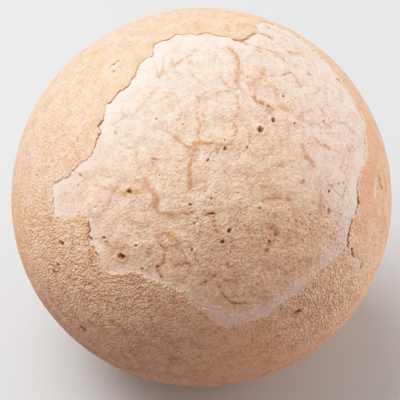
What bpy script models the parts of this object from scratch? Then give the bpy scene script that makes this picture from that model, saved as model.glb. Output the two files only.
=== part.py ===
"""A fossil tortoise egg: a round stone that keeps most of its shell crust, with a broken window in the crust.

Metres, +Z up, resting on a small flat spot at z = 0. The lists of places are in millimetres.
The face is the side with the window: it looks to the front (-Y) and upward by FACE_TILT.
A place on the face is (right, up), on the plane through the egg's middle that is square to the
face, and is carried to the surface along the line from a point EYE_DISTANCE in front of it.
The whole surface is one skin around the middle: each point lies at one direction and one radius.
"""

import math
import random

import bmesh
import bpy
from mathutils import Matrix, Vector, geometry, noise

MM = 0.001

EGG_RADIUS = 31.0
FOOT_RADIUS = 7.0  # the flat spot that it rests on
FOOT_SIDES = 28
CENTRE_HEIGHT = 30.1  # the egg's middle above the flat spot
FACE_TILT = math.radians(42)
EYE_DISTANCE = 350.0

CRUST_DEPTH = 0.4  # how far the bare stone lies below the crust
WALL_SLOPE = 0.28  # how far the broken edge runs inward on its way down
EDGE_STEP = 1.1  # the longest stretch between two points of the broken edge
SKIN_STEP = 2.05  # spacing of the points on the plain skin
CLEARANCE = 0.75  # plain points stay this far from rims and edges

LUMP_HEIGHT = 0.07
LUMP_SIZE = 7.0
GRAIN_HEIGHT = 0.18  # the coarse grains of the crust, low on the left and the right
GRAIN_SIZE = 2.4
GRAIN_PATCHES = ((-15.0, -19.0, 13.0), (-24.0, -10.0, 8.0), (20.0, -17.0, 8.0))  # right, up, reach

# Broad swells and flats: right, up and out of the face, height, reach in degrees.
SWELLS = (
    (-0.44, 0.90, 0.0, -0.16, 22),
    (-0.88, -0.47, 0.0, 0.20, 24),
    (0.07, -1.00, 0.0, -0.16, 30),
    (0.87, -0.48, 0.0, 0.14, 22),
    (0.52, 0.85, 0.0, 0.09, 14),
    (0.40, 0.30, -0.85, 0.22, 34),
    (-0.50, -0.20, -0.80, -0.24, 30),
    (0.10, -0.60, -0.75, 0.14, 26),
)

# The window's broken edge, clockwise from the upper left.
WINDOW_EDGE = (
    (-15.9, 14.3), (-15.7, 15.1), (-14.6, 16.1), (-14.1, 16.9), (-13.5, 17.5), (-12.8, 17.7),
    (-11.8, 18.9), (-11.0, 19.9), (-10.3, 21.7), (-9.4, 22.8), (-8.3, 23.1), (-7.8, 24.2),
    (-7.7, 25.1), (-7.1, 25.5), (-5.0, 26.2), (-4.2, 26.8), (-3.6, 26.9), (-2.6, 26.6),
    (-1.5, 27.0), (-0.8, 26.6), (0.6, 27.1), (1.3, 27.0), (2.1, 26.6), (4.1, 26.4),
    (5.4, 25.9), (6.6, 25.6), (8.2, 26.5), (9.2, 27.0), (9.3, 28.5), (9.9, 29.0),
    (12.9, 27.9), (15.5, 26.5), (17.8, 24.7), (20.6, 22.1), (22.0, 19.9), (24.8, 16.1),
    (26.2, 13.7), (26.8, 11.1), (26.9, 6.3), (26.1, 4.7), (25.8, 3.0), (25.5, 1.1),
    (25.8, -1.2), (24.9, -3.3), (24.4, -5.2), (24.0, -6.8), (24.1, -8.1), (21.1, -11.0),
    (19.6, -12.5), (17.5, -14.4), (15.6, -16.1), (12.7, -17.9), (11.4, -19.0), (9.1, -20.0),
    (6.4, -20.6), (3.9, -21.3), (2.3, -20.0), (1.2, -19.0), (0.8, -18.3), (-0.3, -18.2),
    (-1.7, -17.2), (-2.7, -15.4), (-5.4, -14.6), (-7.5, -13.7), (-10.9, -12.3), (-13.2, -12.5),
    (-15.0, -12.3), (-16.5, -11.2), (-16.9, -10.0), (-18.6, -7.3), (-18.4, -5.4), (-18.6, -3.9),
    (-19.6, -2.7), (-21.2, -3.2), (-24.0, -3.3), (-24.4, 0.3), (-24.5, 2.1), (-22.3, 3.2),
    (-21.2, 4.3), (-19.3, 6.2), (-18.2, 6.7), (-17.1, 9.4), (-16.7, 10.6), (-17.1, 12.1),
    (-16.4, 12.4), (-16.1, 13.4),
)

# Pits in the bare stone: right, up, radius.
STONE_PITS = (
    (9.7, 11.1, 0.52), (11.8, 12.6, 0.44), (-13.1, -9.8, 0.62), (-11.8, 1.0, 0.50), (3.8, 8.0, 0.42),
    (4.5, -5.5, 0.50), (1.0, 6.1, 0.36), (20.9, 1.0, 0.40), (20.9, -2.4, 0.40), (3.4, -7.3, 0.44),
    (-1.6, -8.6, 0.36), (7.5, 8.2, 0.36), (13.4, 16.6, 0.38), (1.6, -0.2, 0.34), (-1.9, -1.2, 0.34),
    (9.5, -1.8, 0.36), (-7.4, 12.9, 0.32), (15.2, 12.1, 0.34), (19.9, 12.5, 0.34),
    (-16.0, -6.6, 0.36), (-7.2, -11.4, 0.36), (-6.9, 19.8, 0.32),
)
# Pits in the crust around it.
CRUST_PITS = (
    (15.8, -18.9, 0.50), (-22.9, -7.5, 0.55), (-24.1, -12.1, 0.48), (-23.5, -11.0, 0.40),
    (12.5, -22.8, 0.40), (21.9, -15.8, 0.36), (-10.4, -26.9, 0.34),
)
HIDDEN_PITS = 26  # scattered over the sides and the back
HIDDEN_RADII = (0.3, 0.55)
HIDDEN_BAND = (-0.95, -0.05)  # they lie between these shares of the radius behind the middle
HIDDEN_SEED = 7
PIT_SPACING = 1.0  # between the rims of two pits
FOOT_MARGIN = 2.0  # from the flat spot to a pit
PIT_RIM_SIDES = 7
PIT_FLOOR_SIDES = 4
PIT_FLOOR = 0.5  # share of the pit's radius
PIT_DEPTH = 0.85  # share of the pit's radius

# Chips in the crust: right, up, half length, half width, turn in degrees, depth.
CHIPS = (
    (25.3, -10.2, 1.7, 1.0, -42, 0.30),
    (28.6, 1.9, 1.9, 0.5, 84, 0.24),
    (-14.2, 21.7, 0.9, 0.36, -55, 0.22),
    (-19.3, -21.5, 0.7, 0.30, -34, 0.24),
)
CHIP_SIDES = 9
CHIP_FLOOR = 0.6  # share of the chip's size

BACK_RING_ANGLE = math.radians(176)  # closes the skin behind, round the point opposite the face
BACK_RING_SIDES = 9

SHARP_ANGLE = math.radians(40)  # steeper edges between faces stay sharp
CRUST_COLOUR = (0.68, 0.45, 0.30, 1.0)
STONE_COLOUR = (0.74, 0.58, 0.46, 1.0)

FACE_OUT = Vector((0, -math.cos(FACE_TILT), math.sin(FACE_TILT)))
FACE_UP = Vector((0, math.sin(FACE_TILT), math.cos(FACE_TILT)))
FACE_RIGHT = Vector((1, 0, 0))
TO_PART = Matrix((FACE_RIGHT, FACE_UP, FACE_OUT)).transposed()


def on_face(right, up, radius=EGG_RADIUS):
    """The direction from the egg's middle to the place (right, up), on a surface of this radius."""
    eye = Vector((0, 0, EYE_DISTANCE))
    line = (Vector((right, up, 0)) - eye).normalized()
    along = -eye.dot(line)
    reach = radius**2 - (EYE_DISTANCE**2 - along**2)
    return (eye + line * (along - math.sqrt(max(reach, 0)))).normalized()


def to_map(direction):
    """The direction on a flat map with the face in its middle, which keeps angles and circles."""
    return direction.xy / (1 + direction.z)


def from_map(point):
    square = point.length_squared
    return Vector((2 * point.x, 2 * point.y, 1 - square)) / (1 + square)


def map_length(length, point):
    """A length on the egg, in mm, as a length on the map at this point of it."""
    return length * (1 + point.length_squared) / (2 * EGG_RADIUS)


def face_direction(part_direction):
    return TO_PART.transposed() @ Vector(part_direction)


def swell(direction):
    height = 0
    for right, up, out, top, reach in SWELLS:
        angle = direction.angle(Vector((right, up, out)))
        height += top * math.exp(-((angle / math.radians(reach)) ** 2))
    return height


def graininess(direction):
    """From 0 on the smooth crust to 1 in the middle of a grainy patch."""
    share = 0
    for right, up, reach in GRAIN_PATCHES:
        distance = EGG_RADIUS * direction.angle(on_face(right, up))
        share = max(share, math.exp(-((distance / reach) ** 4)))
    return share


def body_radius(direction):
    lumps = noise.noise(direction * (EGG_RADIUS / LUMP_SIZE))
    return EGG_RADIUS + swell(direction) + LUMP_HEIGHT * lumps


def crust_radius(direction):
    grains = noise.noise(direction * (EGG_RADIUS / GRAIN_SIZE))
    return body_radius(direction) + GRAIN_HEIGHT * graininess(direction) * grains


def stone_radius(direction):
    return body_radius(direction) - CRUST_DEPTH


class Skin:
    """The points of the skin on the map, each with its radius, and the edges that must be kept."""

    def __init__(self):
        self.points = []
        self.radii = []
        self.edges = []
        self.keep_clear = []

    def add(self, point, radius):
        self.points.append(point)
        self.radii.append(radius)
        return len(self.points) - 1

    def ring(self, points, radii):
        """Adds points that edges join in a ring."""
        indices = [self.add(point, radius) for point, radius in zip(points, radii)]
        self.edges += list(zip(indices, indices[1:] + indices[:1]))


def window_loop():
    """The top of the broken edge on the map, anticlockwise, with points at most EDGE_STEP apart."""
    corners = [to_map(on_face(*place)) for place in reversed(WINDOW_EDGE)]
    loop = []
    for here, there in zip(corners, corners[1:] + corners[:1]):
        steps = math.ceil((there - here).length / map_length(EDGE_STEP, here))
        loop += [here.lerp(there, step / steps) for step in range(steps)]
    return loop


def inward(loop, distance):
    """The loop moved toward its inside. It runs anticlockwise, so the inside is on its left."""
    moved = []
    for before, point, after in zip(loop[-1:] + loop[:-1], loop, loop[1:] + loop[:1]):
        along = (after - before).normalized()
        moved.append(point + Vector((-along.y, along.x)) * map_length(distance, point))
    return moved


def is_inside(point, loop):
    """True where a line from the point to the right crosses the loop an odd number of times."""
    inside = False
    for a, b in zip(loop, loop[1:] + loop[:1]):
        if (a.y > point.y) != (b.y > point.y):
            if point.x < a.x + (point.y - a.y) * (b.x - a.x) / (b.y - a.y):
                inside = not inside
    return inside


def tangent_ellipse(direction, sides, half_length, half_width, turn):
    """Directions around an ellipse that lies on the egg."""
    across = direction.cross(Vector((0, 1, 0)) if abs(direction.y) < 0.9 else Vector((1, 0, 0)))
    side = -across.normalized()
    upright = direction.cross(side)
    places = []
    for step in range(sides):
        angle = 2 * math.pi * step / sides
        x = half_length * math.cos(angle)
        y = half_width * math.sin(angle)
        shift = side * (x * math.cos(turn) - y * math.sin(turn))
        shift += upright * (x * math.sin(turn) + y * math.cos(turn))
        places.append((direction + shift / EGG_RADIUS).normalized())
    return places


def add_hollow(skin, direction, radius_at, size, turn, depth, sides, floor):
    """A pit or a chip: a rim on the surface and a smaller floor below it."""
    half_length, half_width = size
    floor_sides, floor_share = floor
    rim = tangent_ellipse(direction, sides, half_length, half_width, turn)
    skin.ring([to_map(d) for d in rim], [radius_at(d) for d in rim])
    inner = tangent_ellipse(
        direction, floor_sides, half_length * floor_share, half_width * floor_share, turn
    )
    skin.ring([to_map(d) for d in inner], [radius_at(d) - depth for d in inner])
    skin.keep_clear.append((direction, half_length + CLEARANCE))


def add_pit(skin, direction, radius_at, radius):
    floor = (PIT_FLOOR_SIDES, PIT_FLOOR)
    size = (radius, radius)
    add_hollow(skin, direction, radius_at, size, 0, radius * PIT_DEPTH, PIT_RIM_SIDES, floor)


def add_hollows(skin):
    stone = EGG_RADIUS - CRUST_DEPTH
    for right, up, radius in STONE_PITS:
        add_pit(skin, on_face(right, up, stone), stone_radius, radius)
    for right, up, radius in CRUST_PITS:
        add_pit(skin, on_face(right, up), crust_radius, radius)
    for right, up, half_length, half_width, turn, depth in CHIPS:
        size = (half_length, half_width)
        floor = (CHIP_SIDES, CHIP_FLOOR)
        add_hollow(
            skin, on_face(right, up), crust_radius, size, math.radians(turn), depth, CHIP_SIDES, floor
        )


def add_hidden_pits(skin, foot_direction):
    """Pits like those of the face, scattered behind it and clear of the flat spot."""
    dice = random.Random(HIDDEN_SEED)
    made = 0
    while made < HIDDEN_PITS:
        direction = Vector((dice.gauss(0, 1), dice.gauss(0, 1), dice.gauss(0, 1))).normalized()
        radius = dice.uniform(*HIDDEN_RADII)
        behind = HIDDEN_BAND[0] < direction.z < HIDDEN_BAND[1]
        off_foot = direction.angle(foot_direction) * EGG_RADIUS > FOOT_RADIUS + FOOT_MARGIN
        crowded = any(direction.angle(d) * EGG_RADIUS < reach + PIT_SPACING for d, reach in skin.keep_clear)
        if behind and off_foot and not crowded:
            add_pit(skin, direction, crust_radius, radius)
            made += 1


def add_foot(skin):
    """The rim of the flat spot. Nothing lies inside it, so the spot is one plane."""
    angles = [2 * math.pi * step / FOOT_SIDES for step in range(FOOT_SIDES)]
    rim = [Vector((FOOT_RADIUS * math.cos(a), FOOT_RADIUS * math.sin(a), -CENTRE_HEIGHT)) for a in angles]
    skin.ring([to_map(face_direction(spot.normalized())) for spot in rim], [spot.length for spot in rim])


def add_plain_points(skin, loops, foot_direction):
    """Evenly spread points on a spiral round the face's axis, clear of every rim and edge."""
    count = round(4 * math.pi * EGG_RADIUS**2 / (SKIN_STEP**2 * math.sqrt(3) / 2))
    golden = math.pi * (3 - math.sqrt(5))
    edge_points = [from_map(point) for loop in loops for point in loop]
    for step in range(count):
        out = 1 - 2 * (step + 0.5) / count
        across = math.sqrt(1 - out * out)
        direction = Vector((across * math.cos(golden * step), across * math.sin(golden * step), out))
        if math.acos(out) > BACK_RING_ANGLE - SKIN_STEP / EGG_RADIUS / 2:
            continue
        if direction.angle(foot_direction) * EGG_RADIUS < FOOT_RADIUS + CLEARANCE:
            continue
        if any(direction.angle(d) * EGG_RADIUS < reach for d, reach in skin.keep_clear):
            continue
        if any((direction - d).length * EGG_RADIUS < CLEARANCE for d in edge_points):
            continue
        point = to_map(direction)
        radius_at = stone_radius if is_inside(point, loops[0]) else crust_radius
        skin.add(point, radius_at(direction))


def add_back_ring(skin):
    """The outermost points of the map, which the point opposite the face then closes."""
    size = math.tan(BACK_RING_ANGLE / 2)
    ring = []
    for step in range(BACK_RING_SIDES):
        angle = 2 * math.pi * step / BACK_RING_SIDES
        point = Vector((size * math.cos(angle), size * math.sin(angle)))
        ring.append(skin.add(point, crust_radius(from_map(point))))
    return ring


def crust_and_stone():
    """The two materials: the tan crust and the pale bare stone."""
    made = []
    for name, colour, roughness in (("crust", CRUST_COLOUR, 0.9), ("stone", STONE_COLOUR, 0.85)):
        material = bpy.data.materials.new(name)
        material.use_nodes = True
        shader = material.node_tree.nodes["Principled BSDF"]
        shader.inputs["Base Color"].default_value = colour
        shader.inputs["Roughness"].default_value = roughness
        shader.inputs["Metallic"].default_value = 0
        made.append(material)
    return made


def skin_triangles(skin, back_ring):
    """Joins the points of the map, then closes the back on one more point, which comes last."""
    found = geometry.delaunay_2d_cdt(skin.points, skin.edges, [], 0, 1e-9)
    triangles = [tuple(found[3][corner][0] for corner in face) for face in found[2]]
    last = len(skin.points)
    return triangles + [(b, a, last) for a, b in zip(back_ring, back_ring[1:] + back_ring[:1])]


def skin_places(skin):
    """Where the points lie, in mm, over the middle of their box; the lowest ones lie on the floor."""
    opposite = Vector((0, 0, -1))
    directions = [from_map(point) for point in skin.points] + [opposite]
    places = []
    for direction, radius in zip(directions, skin.radii + [crust_radius(opposite)]):
        outward = TO_PART @ direction
        to_floor = CENTRE_HEIGHT / max(-outward.z, 1e-6)
        places.append(outward * min(radius, to_floor) + Vector((0, 0, CENTRE_HEIGHT)))
    across = (min(p.x for p in places) + max(p.x for p in places)) / 2
    back = (min(p.y for p in places) + max(p.y for p in places)) / 2
    return [place - Vector((across, back, 0)) for place in places]


def build_mesh(skin, back_ring, edge_loop):
    """The skin as a mesh in metres, with the second material inside the loop."""
    form = bmesh.new()
    corners = [form.verts.new(place * MM) for place in skin_places(skin)]
    for triangle in skin_triangles(skin, back_ring):
        face = form.faces.new([corners[index] for index in triangle])
        middle = sum((skin.points[i] for i in triangle if i < len(skin.points)), Vector((0, 0))) / 3
        face.material_index = 1 if is_inside(middle, edge_loop) else 0
    mesh = bpy.data.meshes.new("egg")
    form.to_mesh(mesh)
    form.free()
    return mesh


def egg():
    skin = Skin()
    top = window_loop()
    bottom = inward(top, WALL_SLOPE)
    skin.ring(top, [crust_radius(from_map(point)) for point in top])
    skin.ring(bottom, [stone_radius(from_map(point)) for point in bottom])
    foot_direction = face_direction((0, 0, -1))
    add_foot(skin)
    add_hollows(skin)
    add_hidden_pits(skin, foot_direction)
    back_ring = add_back_ring(skin)
    add_plain_points(skin, (top, bottom), foot_direction)

    mesh = build_mesh(skin, back_ring, bottom)
    for material in crust_and_stone():
        mesh.materials.append(material)
    mesh.shade_smooth()
    mesh.set_sharp_from_angle(angle=SHARP_ANGLE)
    bpy.context.scene.collection.objects.link(bpy.data.objects.new("egg", mesh))


for old in list(bpy.data.objects):
    bpy.data.objects.remove(old)
egg()
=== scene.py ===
"""The looks of a fossil tortoise egg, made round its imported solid.

Two pieces stand for the one solid: the bare stone, which fills the egg and shows in the window,
and the crust, the shell that is left on it. The frame is in metres, +Z up. The lists of places are
in millimetres, as (right, up) on the plane through the egg's middle that is square to its face,
and are carried to the surface along the line from a point EYE_DISTANCE in front of the face.
"""
import math
import random

import bpy
import numpy as np
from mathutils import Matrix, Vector, geometry, kdtree, noise


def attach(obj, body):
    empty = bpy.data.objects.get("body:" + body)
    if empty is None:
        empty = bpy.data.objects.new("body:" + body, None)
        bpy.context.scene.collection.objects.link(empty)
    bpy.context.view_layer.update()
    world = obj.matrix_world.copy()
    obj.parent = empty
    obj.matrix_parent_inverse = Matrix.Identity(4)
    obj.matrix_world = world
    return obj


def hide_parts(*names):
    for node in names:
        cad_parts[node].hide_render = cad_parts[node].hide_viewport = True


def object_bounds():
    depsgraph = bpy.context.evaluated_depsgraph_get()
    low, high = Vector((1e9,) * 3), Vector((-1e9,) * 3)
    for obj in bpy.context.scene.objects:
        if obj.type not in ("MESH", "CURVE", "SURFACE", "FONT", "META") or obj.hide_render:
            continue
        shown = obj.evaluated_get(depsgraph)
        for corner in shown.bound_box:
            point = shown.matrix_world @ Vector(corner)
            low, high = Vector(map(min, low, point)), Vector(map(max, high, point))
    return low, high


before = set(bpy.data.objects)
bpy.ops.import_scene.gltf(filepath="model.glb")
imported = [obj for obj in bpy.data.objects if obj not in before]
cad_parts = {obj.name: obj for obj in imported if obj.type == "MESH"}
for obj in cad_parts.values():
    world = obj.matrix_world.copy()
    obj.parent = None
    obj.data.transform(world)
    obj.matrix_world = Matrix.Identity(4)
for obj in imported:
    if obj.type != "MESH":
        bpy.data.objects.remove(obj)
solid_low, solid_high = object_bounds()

MM = 0.001
PER_METRE = 1000.0  # millimetres

# ---------------------------------------------------------------- the egg's sizes, in millimetres
EGG_RADIUS = 31.0
CENTRE_HEIGHT = 30.1
FACE_TILT = math.radians(42)
EYE_DISTANCE = 350.0
CRUST_DEPTH = 0.20  # depth of the window's floor at its upper left
LOW_DEPTH = 0.16  # and at its lower right
TOP_DEPTH = 0.14  # and along its top
# Round this place, right, up and reach, the floor is almost level with the crust.
SHALLOW_BAY = (-23.5, -0.5, 4.5)
BAY_DEPTH = 0.08
DEPTH_FINENESS = 11  # the floor rises and falls this often for each radius along it
DEPTH_LEAST = 0.55  # share of its depth where it is shallowest
DEPTH_SWING = 0.75  # and how much that grows to where it is deepest
THINNING_WAY = (0.6, -0.8, 0.0)  # the crust thins this way: right, up and out of the face
THINNING_BAND = (-0.3, 0.35)
TOP_BAND = (0.6, 0.85)

STONE_STEP = 0.182  # spacing of the points on the bare stone
HIDDEN_STEP = 1.7  # on what the crust hides
GRAIN_STEP = 0.196  # on the grainy crust
MARK_STEP = 0.17  # round the marks on the smooth crust
MARK_REACH = 0.8
FRONT_STEP = 0.34  # on the smooth crust of the front
BACK_STEP = 0.8
EDGE_STEP = 0.13  # along the broken edge
WINDOW_MARGIN = 0.9  # the fine stone runs on this far under the crust
BACK_RING_ANGLE = math.radians(176)
BACK_RING_LEAST = 6  # points in it

# Broad swells and flats: right, up and out of the face, height, reach in degrees.
SWELLS = (
    (-0.44, 0.90, 0.0, -0.16, 22),
    (-0.88, -0.47, 0.0, 0.20, 24),
    (0.07, -1.00, 0.0, -0.16, 30),
    (0.87, -0.48, 0.0, 0.14, 22),
    (0.52, 0.85, 0.0, 0.09, 14),
    (0.40, 0.30, -0.85, 0.22, 34),
    (-0.50, -0.20, -0.80, -0.24, 30),
    (0.10, -0.60, -0.75, 0.14, 26),
)

# The window's broken edge, clockwise from the upper left.
WINDOW_EDGE = (
    (-15.9, 14.3), (-15.7, 15.1), (-14.6, 16.1), (-14.1, 16.9), (-13.5, 17.5), (-12.8, 17.7),
    (-11.8, 18.9), (-11.0, 19.9), (-10.3, 21.7), (-9.4, 22.8), (-8.3, 23.1), (-7.8, 24.2),
    (-7.7, 25.1), (-7.1, 25.5), (-5.0, 26.2), (-4.2, 26.8), (-3.6, 26.9), (-2.6, 26.6),
    (-1.5, 27.0), (-0.8, 26.6), (0.6, 27.1), (1.3, 27.0), (2.1, 26.6), (4.1, 26.4),
    (5.4, 25.9), (6.6, 25.6), (8.2, 26.5), (9.2, 27.0), (9.3, 28.5), (9.9, 29.0),
    (12.9, 27.9), (15.5, 26.5), (17.8, 24.7), (20.6, 22.1), (22.0, 19.9), (24.8, 16.1),
    (26.2, 13.7), (26.8, 11.1), (26.9, 6.3), (26.1, 4.7), (25.8, 3.0), (25.5, 1.1),
    (25.8, -1.2), (24.9, -3.3), (24.4, -5.2), (24.0, -6.8), (24.1, -8.1), (21.1, -11.0),
    (19.6, -12.5), (17.5, -14.4), (15.6, -16.1), (12.7, -17.9), (11.4, -19.0), (9.1, -20.0),
    (6.4, -20.6), (3.9, -21.3), (2.3, -20.0), (1.2, -19.0), (0.8, -18.3), (-0.3, -18.2),
    (-1.7, -17.2), (-2.7, -15.4), (-5.4, -14.6), (-7.5, -13.7), (-10.9, -12.3), (-13.2, -12.5),
    (-15.0, -12.3), (-16.5, -11.2), (-16.9, -10.0), (-18.6, -7.3), (-18.4, -5.4), (-18.6, -3.9),
    (-19.6, -2.7), (-21.2, -3.2), (-24.0, -3.3), (-24.4, 0.3), (-24.5, 2.1), (-22.3, 3.2),
    (-21.2, 4.3), (-19.3, 6.2), (-18.2, 6.7), (-17.1, 9.4), (-16.7, 10.6), (-17.1, 12.1),
    (-16.4, 12.4), (-16.1, 13.4),
)

# Where the crust is coarse: right, up, reach.
GRAIN_PATCHES = ((-14.0, -19.0, 13.0), (-25.0, -10.0, 9.0), (-22.0, -19.0, 8.0), (21.0, -15.0, 9.0))

# Pits in the bare stone: right, up, radius, brown stain round it.
STONE_PITS = (
    (9.7, 11.1, 0.58, 0.3), (11.8, 12.6, 0.46, 0.3), (-13.1, -9.7, 0.60, 0.8), (-11.8, 1.0, 0.46, 1.0),
    (3.8, 8.0, 0.38, 0.5), (4.5, -5.5, 0.44, 0.1), (1.0, 6.1, 0.30, 0.2), (20.9, 1.0, 0.34, 0.2),
    (3.4, -7.3, 0.40, 0.5), (-1.6, -8.6, 0.30, 0.2), (7.5, 8.2, 0.30, 0.1), (13.4, 16.6, 0.34, 0.2),
    (3.8, 9.4, 0.22, 0.0), (1.6, -0.2, 0.26, 0.2), (-1.9, -1.2, 0.28, 0.9), (9.5, -1.8, 0.28, 0.1),
    (-7.4, 12.9, 0.24, 0.1), (15.2, 12.1, 0.26, 0.2), (-7.0, 19.8, 0.24, 0.6), (19.9, 12.5, 0.26, 0.4),
    (-14.1, 10.5, 0.22, 0.8), (-9.7, -11.7, 0.26, 0.5), (-7.2, -11.4, 0.30, 1.0), (-3.2, 22.3, 0.18, 0.3),
    (-2.1, 17.9, 0.18, 0.2), (0.3, 16.9, 0.16, 0.2), (1.9, 16.9, 0.16, 0.2), (2.2, 14.8, 0.18, 0.2),
    (-8.4, 14.0, 0.18, 0.2), (-3.1, 12.0, 0.18, 0.2), (11.8, 8.4, 0.22, 0.3), (22.9, 15.9, 0.26, 0.3),
    (9.5, 21.1, 0.18, 0.3), (9.1, 15.7, 0.20, 0.4), (10.7, 14.3, 0.20, 0.4), (9.5, 17.7, 0.16, 0.2),
    (9.6, 17.0, 0.16, 0.2), (8.0, 17.6, 0.16, 0.2), (5.1, 19.6, 0.16, 0.2), (6.1, 15.3, 0.18, 0.2),
    (-7.6, 22.3, 0.16, 0.1), (-6.9, 3.6, 0.20, 0.2), (-8.7, 4.3, 0.18, 0.2), (-16.7, 7.7, 0.18, 0.4),
    (-19.8, 3.7, 0.22, 0.6), (-21.5, 2.2, 0.20, 0.3), (-17.4, -1.5, 0.20, 0.2), (-16.0, -6.6, 0.34, 0.1),
    (-10.7, -7.9, 0.32, 0.1), (-1.2, -4.3, 0.24, 0.1), (4.2, -0.1, 0.18, 0.1), (16.7, 2.7, 0.22, 0.6),
    (21.3, 0.2, 0.18, 0.2), (17.7, -2.8, 0.22, 0.1), (19.4, -6.5, 0.18, 0.2), (11.1, -7.3, 0.26, 0.8),
    (22.5, 2.2, 0.18, 0.2), (6.5, 9.6, 0.14, 0.1), (6.2, 11.2, 0.14, 0.1), (16.1, -7.0, 0.18, 0.1),
    (3.4, 26.0, 0.16, 0.2), (15.1, 25.2, 0.18, 0.3), (15.8, 24.5, 0.18, 0.3), (7.6, 17.3, 0.18, 0.2),
    (19.6, -2.8, 0.18, 0.1), (8.1, -15.4, 0.18, 0.2), (12.2, -17.2, 0.18, 0.1), (13.5, -16.8, 0.16, 0.1),
    (14.3, -16.4, 0.16, 0.1),
)
# Spots of orange in the stone, in the same way; the colour fades out at about 2.6 times the radius.
STONE_SPOTS = (
    (-5.8, 16.5, 0.24, 1.0), (-20.2, 2.1, 0.18, 1.0), (15.4, 23.5, 0.20, 0.8), (16.7, 24.1, 0.16, 0.8),
    (17.7, 12.2, 0.28, 0.7), (21.0, 11.6, 0.20, 0.9), (17.2, 6.5, 0.28, 0.8), (11.9, 0.3, 0.24, 0.7),
    (-4.9, -6.6, 0.34, 1.0), (-7.5, -0.9, 0.28, 1.0), (-14.6, -8.8, 0.30, 0.8), (-15.6, -7.6, 0.22, 0.7),
    (-13.8, -7.6, 0.24, 0.6), (23.2, 2.4, 0.18, 0.9), (-12.6, 0.6, 0.26, 1.0), (-10.9, 0.8, 0.24, 1.0),
    (-14.2, 10.9, 0.16, 0.9), (-18.3, -2.4, 0.20, 0.7),
)
# Pits and spots in the crust, in the same way.
CRUST_PITS = (
    (15.4, -18.9, 0.44, 0.2), (15.9, -18.6, 0.40, 0.2), (-22.9, -7.5, 0.46, 0.3), (-24.1, -12.1, 0.40, 0.2),
    (-23.5, -11.0, 0.32, 0.2), (12.5, -22.8, 0.30, 0.3), (21.9, -15.8, 0.28, 0.2), (-10.4, -26.9, 0.24, 0.2),
    (5.8, 27.3, 0.14, 0.1), (11.2, 27.5, 0.14, 0.3), (-14.4, 20.7, 0.32, 0.3), (-15.1, 21.1, 0.20, 0.2),
    (26.4, 12.2, 0.20, 0.1), (26.9, 8.2, 0.20, 0.1), (26.8, 6.8, 0.16, 0.1),
)
CRUST_SPOTS = (
    (-1.0, 28.6, 0.30, 1.0), (-0.8, 27.8, 0.28, 1.0), (-17.5, 23.9, 0.34, 1.0), (-19.8, 19.0, 0.38, 1.0),
    (-19.6, 20.6, 0.34, 1.0), (-25.7, 2.1, 0.20, 1.0), (-25.6, 1.3, 0.20, 1.0), (-0.4, -26.1, 0.22, 0.9),
    (-25.9, 4.2, 0.22, 0.6), (-20.4, 9.8, 0.16, 0.7), (-26.0, -4.4, 0.34, 0.7), (-24.9, -3.6, 0.28, 0.7),
    (-24.2, -5.2, 0.26, 0.7), (-23.8, -8.4, 0.20, 1.0), (-22.7, -9.6, 0.26, 0.9), (-21.2, -14.0, 0.34, 0.6),
    (-14.7, -20.3, 0.38, 0.8), (-13.9, -21.2, 0.28, 0.6), (-21.4, -10.6, 0.24, 0.7), (-22.6, -20.6, 0.4, 0.4),
    (12.5, -22.9, 0.24, 0.7), (14.6, -24.4, 0.22, 0.4), (6.0, 26.0, 0.20, 0.7), (6.8, 25.7, 0.20, 0.7),
    (5.9, 27.3, 0.20, 0.7), (-17.7, 16.4, 0.28, 0.5), (-24.2, 11.0, 0.26, 0.4), (-26.0, 7.0, 0.30, 0.3),
)

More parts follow.
